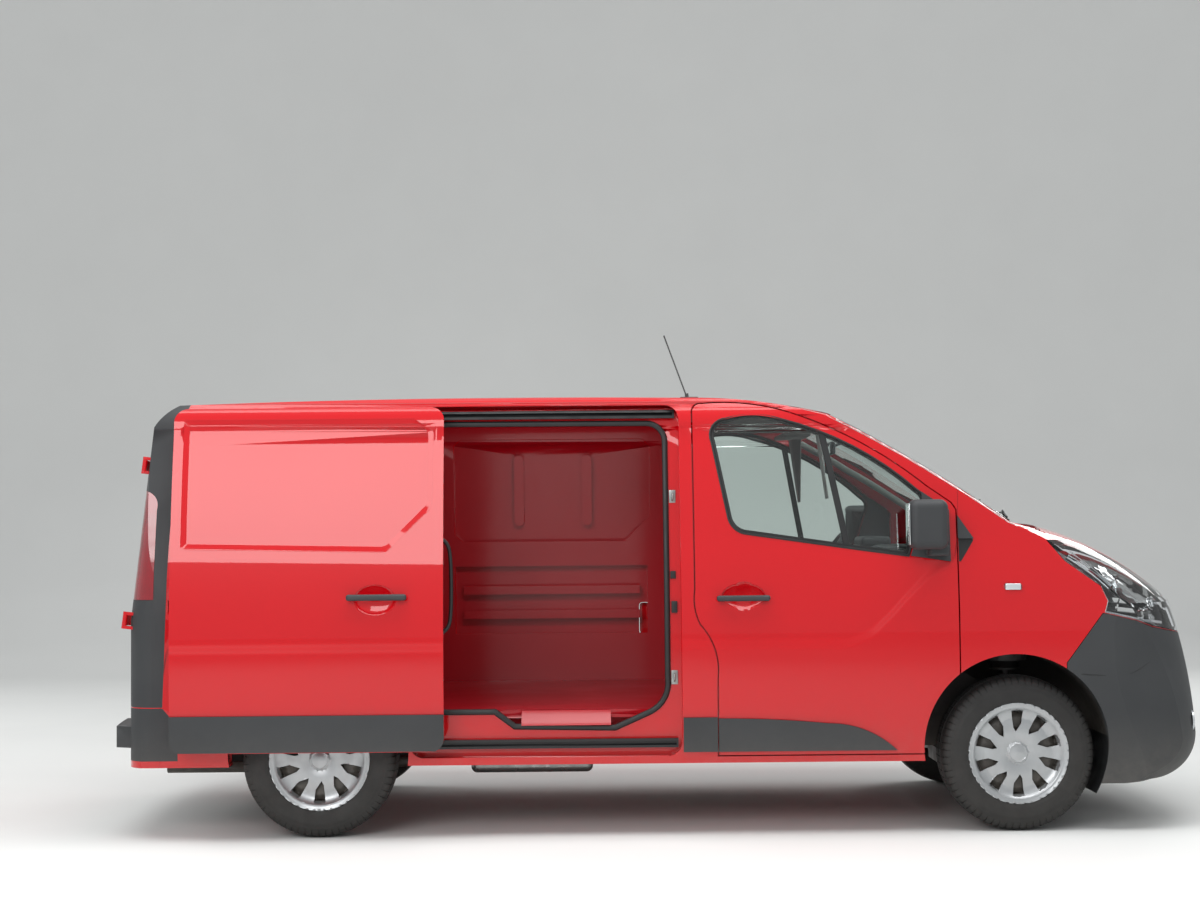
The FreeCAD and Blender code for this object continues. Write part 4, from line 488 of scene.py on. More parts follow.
def block(name: str, low: tuple, high: tuple, bevel: float, segments: int = 3) -> bpy.types.Object:
    """A moulded block between two corners in millimetres, its edges rounded."""
    a, b = mm(*low), mm(*high)
    bpy.ops.object.select_all(action="DESELECT")
    bpy.ops.mesh.primitive_cube_add(size=1.0, location=(a + b) / 2)
    obj = bpy.context.object
    obj.name = name
    obj.scale = b - a
    settle(obj)
    bpy.ops.object.mode_set(mode="EDIT")
    bpy.ops.mesh.select_all(action="SELECT")
    bpy.ops.mesh.bevel(offset=bevel * MM, segments=segments, affect="EDGES")
    bpy.ops.object.mode_set(mode="OBJECT")
    smooth(obj, 40.0)
    return obj


def scoop(obj: bpy.types.Object, centre: tuple, radii: tuple) -> None:
    """Presses a round-bottomed hollow into a piece, its centre and radii in millimetres."""
    bpy.ops.object.select_all(action="DESELECT")
    bpy.ops.mesh.primitive_uv_sphere_add(segments=56, ring_count=28, radius=1.0, location=mm(*centre))
    tool = bpy.context.object
    tool.scale = mm(*radii)
    settle(tool)
    apply_modifier(obj, "BOOLEAN", operation="DIFFERENCE", solver="EXACT", object=tool)
    activate(tool)
    bpy.ops.object.delete()
    apply_modifier(obj, "TRIANGULATE")


def tube(name: str, points: list[Vector], radius: float, sides: int = 3) -> bpy.types.Object:
    """A round bar along a smooth line through points, its radius in millimetres."""
    bpy.ops.object.select_all(action="DESELECT")
    bpy.ops.curve.primitive_nurbs_path_add()
    obj = bpy.context.object
    obj.name = name
    curve = obj.data
    curve.splines.clear()
    spline = curve.splines.new("NURBS")
    spline.points.add(len(points) - 1)
    for target, point in zip(spline.points, points):
        target.co = (*point, 1.0)
    spline.order_u = 3
    spline.use_endpoint_u = True
    curve.dimensions = "3D"
    curve.bevel_depth = radius * MM
    curve.bevel_resolution = sides
    curve.resolution_u = 6
    curve.use_fill_caps = True
    bpy.ops.object.convert(target="MESH")
    obj = bpy.context.object
    settle(obj)
    outward(obj, 0.00001)
    smooth(obj, 40.0)
    return obj


def join(name: str, pieces: list[bpy.types.Object]) -> bpy.types.Object:
    """Joins pieces into one object."""
    activate(pieces[0])
    for piece in pieces:
        piece.select_set(True)
    bpy.ops.object.join()
    joined = bpy.context.object
    joined.name = name
    return joined


def turned_copy(obj: bpy.types.Object, matrix: Matrix) -> bpy.types.Object:
    """A copy of a piece with its own mesh, moved by a matrix."""
    copy = bpy.data.objects.new(obj.name + "_copy", obj.data.copy())
    bpy.context.scene.collection.objects.link(copy)
    copy.data.transform(matrix)
    if matrix.determinant() < 0:
        copy.data.flip_normals()
    return copy


MIRROR_Y = Matrix.Diagonal((1, -1, 1, 1))


def pair(obj: bpy.types.Object, left_name: str) -> bpy.types.Object:
    """The same piece mirrored to the other side of the van."""
    twin = turned_copy(obj, MIRROR_Y)
    twin.name = left_name
    return twin


def dress_pair(obj: bpy.types.Object, finish: Finish, bodies: tuple[str, str] = ("body", "body")) -> None:
    """Dresses a piece of the right side and its mirrored twin.

    Args:
        obj: the piece, with right in its name.
        finish: the finish of both.
        bodies: the CAD bodies of the right and the left one.
    """
    dress(obj, finish, bodies[0])
    dress(pair(obj, obj.name.replace("_right", "_left")), finish, bodies[1])


def curve_points(steps: list, per_arc: int = 8) -> list[tuple[float, float]]:
    """Points along an outline. A step is a point, or a pair (middle, end) for an arc."""
    ends = [s[-1] if isinstance(s[0], tuple) else s for s in steps]
    points = []
    for i, step in enumerate(steps):
        if isinstance(step[0], tuple):
            points += arc_points(ends[i - 1], step[0], step[1], per_arc)
        else:
            points.append(step)
    return points


def arc_points(a: tuple, m: tuple, b: tuple, count: int) -> list[tuple[float, float]]:
    """Points on the circle arc from a through m to b, without a."""
    ax, ay, mx, my, bx, by = *a, *m, *b
    d = 2 * (ax * (my - by) + mx * (by - ay) + bx * (ay - my))
    ux = ((ax * ax + ay * ay) * (my - by) + (mx * mx + my * my) * (by - ay) + (bx * bx + by * by) * (ay - my)) / d
    uy = ((ax * ax + ay * ay) * (bx - mx) + (mx * mx + my * my) * (ax - bx) + (bx * bx + by * by) * (mx - ax)) / d
    start = math.atan2(ay - uy, ax - ux)
    middle = (math.atan2(my - uy, mx - ux) - start) % FULL_TURN
    sweep = (math.atan2(by - uy, bx - ux) - start) % FULL_TURN
    if middle > sweep:
        sweep -= FULL_TURN
    radius = math.hypot(ax - ux, ay - uy)
    return [(ux + radius * math.cos(start + sweep * i / count), uy + radius * math.sin(start + sweep * i / count))
            for i in range(1, count + 1)]


def offset_loop(points: list[tuple[float, float]], distance: float) -> list[tuple[float, float]]:
    """A closed outline moved outwards by a distance."""
    area = sum(p[0] * q[1] - q[0] * p[1] for p, q in zip(points, points[1:] + points[:1]))
    sign = 1.0 if area > 0 else -1.0
    moved = []
    for i, (x, z) in enumerate(points):
        before, after = Vector(points[i - 1]), Vector(points[(i + 1) % len(points)])
        here = Vector((x, z))
        one, two = (here - before).normalized(), (after - here).normalized()
        normal = Vector((one.y + two.y, -one.x - two.x)).normalized()
        reach = distance * sign / max(normal.dot(Vector((one.y, -one.x))), 0.4)
        moved.append((x + normal.x * reach, z + normal.y * reach))
    return moved


def dense(points: list[tuple[float, float]], step: float, closed: bool = True) -> list[tuple[float, float]]:
    """An outline with points at most a step apart."""
    result = []
    for p, q in zip(points, points[1:] + points[:1] if closed else points[1:]):
        count = max(1, math.ceil(math.hypot(q[0] - p[0], q[1] - p[1]) / step))
        result += [(p[0] + (q[0] - p[0]) * i / count, p[1] + (q[1] - p[1]) * i / count) for i in range(count)]
    return result if closed else result + [points[-1]]


class Skin:
    """Finds places on the outer surface of CAD nodes."""

    def __init__(self, *nodes: str) -> None:
        """Builds the search tree of the nodes' faces."""
        vertices, faces = [], []
        for node in nodes:
            mesh = frame["nodes"][node].data
            base = len(vertices)
            vertices += [v.co.copy() for v in mesh.vertices]
            faces += [[base + i for i in f.vertices] for f in mesh.polygons]
        self.tree = BVHTree.FromPolygons(vertices, faces)

    def cast(self, start: Vector, way: Vector, lift: float) -> Vector:
        """The first surface point along a way, lifted back towards the start, or the start where none is hit."""
        hit = self.tree.ray_cast(start, way)[0]
        return (hit if hit is not None else start) - way * lift * MM

    def side(self, x: float, z: float, lift: float = 0.0, side: int = -1, start: float = 1300.0) -> Vector:
        """The surface point seen from one side of the van, at x and z in millimetres."""
        return self.cast(mm(x, side * start, z), Vector((0, -side, 0)), lift)


    def seen(self, px: float, py: float, lift: float = 0.0) -> Vector:
        """The surface point that the camera sees at a place in its view, in pixels."""
        camera = bpy.context.scene.camera
        share = camera.data.sensor_width / camera.data.lens / VIEW_WIDTH
        across, up = (px - VIEW_WIDTH / 2) * share, (VIEW_HEIGHT / 2 - py) * share
        way = camera.matrix_world.to_3x3() @ Vector((across, up, -1.0))
        return self.cast(camera.matrix_world.translation.copy(), way.normalized(), lift)

    def rim(self, stations: np.ndarray, tries: np.ndarray) -> list[Vector]:
        """The right edge of the windscreen, seen from above.

        Args:
            stations: places along the van in millimetres.
            tries: distances from the middle to try, from the inside out.

        Returns:
            The outermost point that is hit at each station.
        """
        points = []
        for x in stations:
            hits = [self.tree.ray_cast(mm(x, -y, ABOVE_ROOF), Vector((0, 0, -1)))[0] for y in tries]
            found = [hit for hit in hits if hit is not None and hit.z > SCREEN_FOOT * MM]
            points += found[-1:]
        return points


@dataclass
class Facing:
    """Clean shading normals for the pressed panels, from the arcs of the body's cross section and plan."""

    half: float = 966.0
    side_limit: float = 0.05
    agree: float = 0.9975
    reach: float = 60.0

    def __post_init__(self) -> None:
        """Samples the outline's normals and evens them out."""
        h = self.half
        across = curve_points([
            (h - 40.0, 150.0), (h - 28.0, 330.0), ((h - 7.0, 560.0), (h, 800.0)),
            ((h - 6.0, 1050.0), (h - 33.0, 1300.0)), ((h - 69.0, 1560.0), (h - 116.0, 1800.0)),
            ((h - 146.0, 1903.0), (h - 264.0, 1956.0)), (0.0, 2090.0)], 24)[1:]
        along = curve_points([
            (-1900.0, h + 4.0), (1740.0, h + 4.0), ((2120.0, h - 30.0), (2330.0, h - 124.0)),
            (2600.0, h - 166.0)], 24)
        self.section = self.slopes([(z, y) for y, z in across if z < 1899.0], 30.0)
        self.plan = self.slopes(along, 40.0)

    def slopes(self, points: list[tuple[float, float]], even: float) -> tuple[np.ndarray, np.ndarray]:
        """The slope of an outline along its first measure, evened out over a distance.

        Args:
            points: (measure, half width) along the outline.
            even: the distance that the slope is averaged over, to each side.

        Returns:
            The measures and the slopes.
        """
        at, width = np.array(points).T
        fine = np.arange(at[0], at[-1], 5.0)
        slope = np.gradient(np.interp(fine, at, width), fine)
        count = max(1, int(even / 5.0))
        padded = np.pad(slope, count, mode="edge")
        return fine, np.convolve(padded, np.ones(2 * count + 1) / (2 * count + 1), mode="valid")

    def clean(self, obj: bpy.types.Object, blend: bool) -> None:
        """Sets a piece's corner normals.

        Args:
            obj: the piece.
            blend: also evens out the normals of the lofted faces.
        """
        mesh = obj.data
        loops, faces = len(mesh.loops), len(mesh.polygons)
        corner = np.zeros(loops * 3, np.float32)
        mesh.corner_normals.foreach_get("vector", corner)
        corner = corner.reshape(-1, 3).astype(float)
        vertex = np.zeros(loops, np.int32)
        mesh.loops.foreach_get("vertex_index", vertex)
        place = np.zeros(len(mesh.vertices) * 3, np.float32)
        mesh.vertices.foreach_get("co", place)
        place = place.reshape(-1, 3).astype(float)[vertex] / MM
        flat = np.zeros(faces * 3, np.float32)
        mesh.polygons.foreach_get("normal", flat)
        flat = np.repeat(flat.reshape(-1, 3).astype(float), 3, axis=0)
        sign = np.where(place[:, 1] < 0, -1.0, 1.0)
        side = np.stack([np.zeros(loops), sign, -np.interp(place[:, 2], *self.section)], 1)
        nose = np.stack([-np.interp(place[:, 0], *self.plan), sign, np.zeros(loops)], 1)
        done = np.zeros(loops, bool)
        for exact, lying in ((side, np.abs(flat[:, 0]) < self.side_limit),
                             (nose, (np.abs(flat[:, 2]) < self.side_limit) & (place[:, 0] > 1700.0))):
            exact = exact / np.linalg.norm(exact, axis=1, keepdims=True)
            match = np.sum(exact * flat, axis=1)
            exact = exact * np.sign(match)[:, None]
            use = lying & (np.abs(match) > self.agree) & ~done
            corner[use] = exact[use]
            done |= use
        if blend:
            self.even_out(mesh, corner, place, flat, done)
        mesh.normals_split_custom_set([tuple(n) for n in corner])

    def even_out(self, mesh: bpy.types.Mesh, corner: np.ndarray, place: np.ndarray, flat: np.ndarray,
                 done: np.ndarray) -> None:
        """Gives the corners that are not set yet the mean of near faces that face alike."""
        tree = KDTree(len(mesh.polygons))
        for face in mesh.polygons:
            tree.insert(face.center, face.index)
        tree.balance()
        normals = np.array([f.normal[:] for f in mesh.polygons])
        areas = np.array([f.area for f in mesh.polygons])
        known = {}
        for loop in np.flatnonzero(~done):
            key = (tuple(np.round(place[loop], 1)), tuple(np.round(flat[loop], 1)))
            if key not in known:
                near = np.array([i for _, i, d in tree.find_n(place[loop] * MM, 40) if d < self.reach * MM], int)
                alike = near[normals[near] @ flat[loop] > 0.97]
                mean = (normals[alike] * areas[alike, None]).sum(0) if len(alike) > 3 else corner[loop]
                known[key] = mean / max(np.linalg.norm(mean), 1e-9)
            corner[loop] = known[key]


@dataclass
class Studio:
    """The floor, the light and the camera at the photograph's place."""

    eye: tuple = (-329.0, -9683.1, 1349.7)
    yaw: float = -0.336
    pitch: float = 2.318
    roll: float = -0.515
    focal: float = 59.16
    floor_half: float = 30.0

    def floor(self) -> None:
        """A pale floor that rises into a backdrop behind the van."""
        half = self.floor_half
        rows = [[Vector((-half, y, z)), Vector((half, y, z))] for y, z in
                [(-half, 0.0), (6.0, 0.0), (9.0, 0.0), (10.2, 0.25), (11.2, 0.9), (12.0, 2.0), (12.4, 4.0),
                 (12.5, 16.0)]]
        obj = grid("studio_floor", rows)
        smooth(obj, 60.0)
        material = bpy.data.materials.new("studio_paper")
        material.use_nodes = True
        tree = material.node_tree
        tree.nodes.clear()
        where = add_node(tree, "ShaderNodeTexCoord").outputs["Object"]
        noise = add_node(tree, "ShaderNodeTexNoise", None, {"Scale": 1.5, "Detail": 4.0}, {"Vector": where})
        colour = add_node(tree, "ShaderNodeMix", {"data_type": "RGBA"},
                          {6: linear("#dcdddb"), 7: linear("#e1e2e0")}, {0: noise.outputs["Fac"]}).outputs[2]
        shader = add_node(tree, "ShaderNodeBsdfPrincipled", None, {"Roughness": 0.9}, {"Base Color": colour})
        add_node(tree, "ShaderNodeOutputMaterial", None, None, {"Surface": shader.outputs[0]})
        obj.data.materials.append(material)

    def lamps(self) -> None:
        """A plain bright world, a large soft box overhead and a weak one on each side."""
        world = bpy.data.worlds.new("studio_world")
        bpy.context.scene.world = world
        world.use_nodes = True
        tree = world.node_tree
        tree.nodes.clear()
        sky = add_node(tree, "ShaderNodeBackground", None, {"Color": linear("#eef0f2"), "Strength": 0.7})
        add_node(tree, "ShaderNodeOutputWorld", None, None, {"Surface": sky.outputs[0]})
        for name, place, turn, size, power in (
                ("softbox_top", (0.0, -2.2, 6.5), (-0.32, 0.0, 0.0), (9.0, 4.0), 470.0),
                ("softbox_camera", (-3.5, -9.0, 4.6), (1.12, 0.0, -0.32), (5.0, 3.0), 260.0),
                ("softbox_load_space", (-0.55, -0.5, 1.862), (0.6, 0.0, 0.0), (0.8, 0.2), 6.0),
                ("softbox_rear", (-8.0, 4.5, 4.5), (1.0, 0.0, -2.1), (4.0, 3.0), 150.0),
                ("softbox_far", (5.5, 6.5, 5.0), (1.0, 0.0, 2.45), (4.0, 3.0), 150.0)):
            bpy.ops.object.light_add(type="AREA", location=place, rotation=turn)
            lamp = bpy.context.object
            lamp.name = name
            lamp.data.shape = "RECTANGLE"
            lamp.data.size, lamp.data.size_y = size
            lamp.data.energy = power
        bpy.context.scene.view_settings.view_transform = "Standard"

    def camera(self) -> None:
        """The camera, worked out from points of known size in the photograph."""
        yaw, pitch, roll = (math.radians(a) for a in (self.yaw, self.pitch, self.roll))
        right = Vector((math.cos(yaw), math.sin(yaw), 0))
        ahead = Vector((-math.sin(yaw), math.cos(yaw), 0))
        up = Vector((0, 0, 1))
        ahead, up = ahead * math.cos(pitch) + up * math.sin(pitch), up * math.cos(pitch) - ahead * math.sin(pitch)
        right, up = right * math.cos(roll) + up * math.sin(roll), up * math.cos(roll) - right * math.sin(roll)
        data = bpy.data.cameras.new("photo_camera")
        data.sensor_width, data.sensor_fit, data.lens = 36.0, "HORIZONTAL", self.focal
        data.clip_end = 200.0
        camera = bpy.data.objects.new("photo_camera", data)
        turn = Matrix((right, up, -ahead)).transposed().to_4x4()
        camera.matrix_world = Matrix.Translation(mm(*self.eye)) @ turn
        bpy.context.scene.collection.objects.link(camera)
        bpy.context.scene.camera = camera

    def build(self) -> None:
        """Sets up the studio."""
        self.camera()
        self.floor()
        self.lamps()


@dataclass
class Shell:
    """The CAD nodes, merged, shaded and given their real finishes."""

    crease: float = 24.0
    lining_facing: float = 0.6
    wall_facing: float = 0.3
    wall_inside: float = 935.0
    spare_x: float = -1990.0
    spare_rim: float = 205.0
    silencer: tuple = (-905.0, -315.0)
    lofted: tuple = ("windscreen", "roof_panel", "bonnet", "front_bumper", "front_wings", "headlamps", "corner_trims",
                     "tail_lamps", "rear_door_left", "rear_door_right", "grille")
    cups: dict = field(default_factory=lambda: {
        "cab_door_right": ((350.0, -961.0, 1055.0), (96.0, 22.0, 56.0)),
        "cab_door_left": ((350.0, 961.0, 1055.0), (96.0, 22.0, 56.0)),
        "sliding_door": ((-1267.0, -1053.0, 1053.0), (92.0, 22.0, 70.0))})

    def table(self) -> list[tuple[str, Finish]]:
        """Each node that keeps its CAD shape, with its finish."""
        groups = {
            PAINT: ["side_right", "side_left", "fuel_flap", "roof_panel", "front_wings", "bonnet", "cab_door_right",
                    "cab_door_left", "sliding_door", "rear_door_left", "rear_door_right"],
            # The floor, cab floor and bulkhead get the inner enamel, its darker red painted shade.
            INNER_PAINT: ["floor_pan", "cab_floor", "bulkhead"],
            GREY_PLASTIC: ["front_bumper", "rear_bumper", "corner_trims", "side_mouldings", "cab_trim_right",
                           "cab_trim_left", "sliding_door_fittings", "scuttle", "grille"],
            SATIN_BLACK: ["wipers", "door_rails", "antenna"],
            BLACK_STEEL: ["knuckle_left", "knuckle_right", "front_suspension", "front_subframe", "rear_axle",
                          "exhaust", "spare_wheel", "fuel_tank", "engine_bay"],
            CAST: ["engine_block"],
            CAB_PLASTIC: ["dashboard", "steering_wheel"],
            GLASS: ["windscreen", "cab_glass_right", "cab_glass_left"],
            RED_LENS: ["tail_lamps"],
            LENS: ["headlamps"],
        }
        return [(node, finish) for finish, nodes in groups.items() for node in nodes]

    def build(self) -> None:
        """Copies, dresses and places each node."""
        made = {}
        facing = Facing()
        for node, finish in self.table():
            obj = merged_copy(node, node + "_dressed", self.crease)
            if node in self.cups:
                scoop(obj, *self.cups[node])
                smooth(obj, self.crease)
            if finish in (PAINT, GLASS, GREY_PLASTIC, LENS, RED_LENS):
                facing.clean(obj, node in self.lofted)
            dress(obj, finish, body_of(node))
            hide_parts(node)
            made[node] = obj
        for node in ("side_right", "side_left"):
            self.dull_and_shade_inside(made[node], 1 if node == "side_left" else -1)
        for node, side in (("cab_door_right", -1), ("cab_door_left", 1)):
            paint_faces(made[node], CAB_PLASTIC, lambda c, n, side=side: n.y * side < -self.lining_facing)
        # The sliding door's inner faces get the inner enamel, its darker red painted shade.
        paint_faces(made["sliding_door"], INNER_PAINT, lambda c, n: n.y > self.lining_facing)
        paint_faces(made["spare_wheel"], TYRE_RUBBER,
                    lambda c, n: math.hypot(c.x - self.spare_x, c.y) > self.spare_rim)
        paint_faces(made["exhaust"], ZINC, lambda c, n: self.silencer[0] < c.x < self.silencer[1])
        LOG.info("shell: %d nodes dressed", len(made))

    def dull_and_shade_inside(self, obj: bpy.types.Object, side: int) -> None:
        """Gives the load space's walls the dry-sprayed enamel, whose darker red is painted shade."""
        paint_faces(obj, INNER_PAINT, lambda c, n: n.y * side < -self.wall_facing and side * c.y < self.wall_inside)


@dataclass
class RoadWheels:
    """Tyres with moulded tread and sidewalls, and the wheels with their covers."""

    pitches: int = 66
    groove: float = 7.5
    lug_cut: float = 5.0
    half: float = 107.5
    radius: float = 343.0
    bead: float = 209.5
    cover_from: float = 60.5

    def section(self) -> list[tuple[float, float, bool]]:
        """The tyre's closed section as (across, radius, cut by a lateral groove)."""
        r, half = self.radius, self.half
        side = [(83.6, self.bead, False), (88.0, 218.0, False), (98.0, 223.6, False), (100.5, 226.0, False),
                (101.0, 229.0, False), (103.2, 233.0, False), (105.5, 245.0, False), (half - 0.6, 262.0, False),
                (half - 0.8, 276.0, False), (106.4, 288.0, False), (105.6, 289.5, False), (105.0, 296.0, False),
                (103.4, 304.0, False), (101.4, 307.5, True), (100.4, 314.0, True), (97.5, 320.0, True),
                (92.0, 328.0, True), (84.5, 333.8, True), (73.5, 337.6, True), (62.0, 339.4, False)]
        tread = [(46.5, r - 2.2, False), (45.0, r - 2.4 - self.groove, False), (39.0, r - 2.0 - self.groove, False),
                 (37.5, r - 1.5, False), (28.0, r - 1.0, True), (14.0, r - 0.5, True), (5.0, r - 0.2, False),
                 (3.5, r - 0.2 - self.groove, False)]
        outer = side + tread
        far = [(-a, b, cut) for a, b, cut in reversed(outer)]
        inner = [(-74.0, self.bead, False), (-92.0, 262.0, False), (-74.0, 310.0, False), (0.0, 324.0, False),
                 (74.0, 310.0, False), (92.0, 262.0, False), (74.0, self.bead, False)]
        return outer + far + inner

    def tyre(self, name: str, centre: Vector) -> bpy.types.Object:
        """One tyre round its centre, built from one tread pitch that is repeated."""
        section = self.section()
        section.append(section[0])
        step = FULL_TURN / self.pitches
        rows = []
        for share, deep in ((0.0, 1), (0.14, 1), (0.17, 0), (0.58, 0), (0.97, 0), (1.0, 1)):
            angle = share * step
            row = []
            for across, radius, cut in section:
                low = radius - (self.lug_cut if cut and deep else 0.0)
                row.append(centre + mm(low * math.sin(angle), across, low * math.cos(angle)))
            rows.append(row)
        obj = grid(name, rows)
        activate(obj)
        bpy.ops.object.mode_set(mode="EDIT")
        bpy.ops.mesh.select_all(action="SELECT")
        bpy.ops.mesh.spin(steps=self.pitches - 1, dupli=True, angle=-step * (self.pitches - 1), center=centre,
                          axis=(0, 1, 0))
        bpy.ops.object.mode_set(mode="OBJECT")
        outward(obj, 0.00004)
        smooth(obj, 30.0)
        return obj

    def cap(self, name: str, centre: Vector, side: int) -> bpy.types.Object:
        """The plain scalloped cap in a cover's middle."""
        obj = turned(name, [(70.0, 0.0), (70.0, 44.0), (81.0, 44.0), (83.0, 42.0), (84.0, 38.0), (82.6, 36.0),
                            (82.8, 30.0), (86.0, 22.0), (87.5, 0.0)], centre, Vector((0, side, 0)), 60)
        for vertex in obj.data.vertices:
            flat = vertex.co - centre
            reach = math.hypot(flat.x, flat.z) / MM
            if reach > 37.0:
                wave = 1.0 + 0.035 * math.cos(10.0 * math.atan2(flat.z, flat.x))
                vertex.co.x, vertex.co.z = centre.x + flat.x * wave, centre.z + flat.z * wave
        return obj

    def build(self) -> None:
        """Builds the four road wheels."""
        for end, x, track in (("front", FRONT_AXLE_X, FRONT_TRACK), ("rear", REAR_AXLE_X, REAR_TRACK)):
            for name, side in (("left", 1), ("right", -1)):
                centre = mm(x, side * track / 2, AXLE_Z)
                tyre_node, wheel_node = "tyre_%s_%s" % (end, name), "wheel_%s_%s" % (end, name)
                body = body_of(wheel_node)
                tyre = dress(self.tyre("tyre_tread_%s_%s" % (end, name), centre), TYRE_RUBBER, body)
                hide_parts(tyre_node)
                wheel = merged_copy(wheel_node, wheel_node + "_dressed", 28.0)
                dress(wheel, BLACK_STEEL, body)
                middle = side * track / 2
                paint_faces(wheel, SILVER, lambda c, n, m=middle, s=side: (c.y - m) * s > self.cover_from)
                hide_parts(wheel_node)
                dress(self.cap("cover_cap_%s_%s" % (end, name), centre, side), SILVER, body)
        LOG.info("road wheels: tyres, wheels and caps")


CAB_WINDOW = curve_points([
    (1084.0, 1225.0), (883.0, 1253.0), (372.0, 1328.0), ((318.0, 1352.0), (290.0, 1405.0)), (224.0, 1740.0),
    ((228.0, 1806.0), (290.0, 1842.0)), ((412.0, 1858.0), (532.0, 1838.0)), ((835.0, 1722.0), (1130.0, 1515.0)),
    ((1162.0, 1470.0), (1148.0, 1420.0))])
SLIDE_APERTURE = curve_points([
    (10.0, 1740.0), ((-12.0, 1800.0), (-70.0, 1824.0)), (-960.0, 1826.0), ((-1005.0, 1808.0), (-1022.0, 1765.0)),
    (-1022.0, 600.0), ((-1005.0, 568.0), (-970.0, 552.0)), (-752.0, 552.0), (-664.0, 486.0), (-222.0, 477.0),
    (-67.0, 546.0), ((-8.0, 600.0), (10.0, 690.0))])


@dataclass
class Glazing:
    """The seals and bars of the cab windows."""

    seal_out: float = 7.0
    seal_in: float = 15.0
    glass_depth: float = 9.3

    def window_seal(self, name: str, skin: Skin) -> bpy.types.Object:
        """The rubber round the right cab window: a lip on the door's skin that falls to the glass."""
        loop = dense(CAB_WINDOW, 26.0)
        rows = []
        rings = [(offset_loop(loop, d), lift) for d, lift in
                 ((self.seal_out, 1.2), (self.seal_out - 2.0, 2.4), (1.0, 2.4), (-2.0, 1.0),
                  (-4.0, 1.6 - self.glass_depth), (-self.seal_in, 1.6 - self.glass_depth))]
        edge = offset_loop(loop, self.seal_out + 4.0)
        for i in range(len(loop)):
            base = skin.side(*edge[i])
            rows.append([Vector((ring[i][0] * MM, base.y - lift * MM, ring[i][1] * MM)) for ring, lift in rings])
        return ribbon(name, rows, 1.2, closed=True, towards=mm(700, 0, 1500))

    def divider(self, name: str, skin: Skin) -> bpy.types.Object:
        """The black bar that parts the cab window's front corner."""
        rows = []
        for i in range(9):
            t = i / 8
            x, z = 716.0 + 100.0 * t, 1782.0 - 520.0 * t
            base = skin.side(x, z)
            rows.append([base + mm(dx, dy, 0)
                         for dx, dy in ((-15.0, -0.4), (-13.0, -3.2), (13.0, -3.2), (15.0, -0.4))])
        return ribbon(name, rows, 1.5, towards=mm(700, 0, 1500))

    def build(self) -> None:
        """Builds the seals and bars of both sides."""
        door = Skin("cab_door_right")
        pane = Skin("cab_glass_right")
        dress_pair(self.window_seal("window_seal_right", door), SEAL, CAB_DOORS)
        dress_pair(self.divider("quarter_bar_right", pane), SEAL, CAB_DOORS)
        LOG.info("glazing: seals and bars")


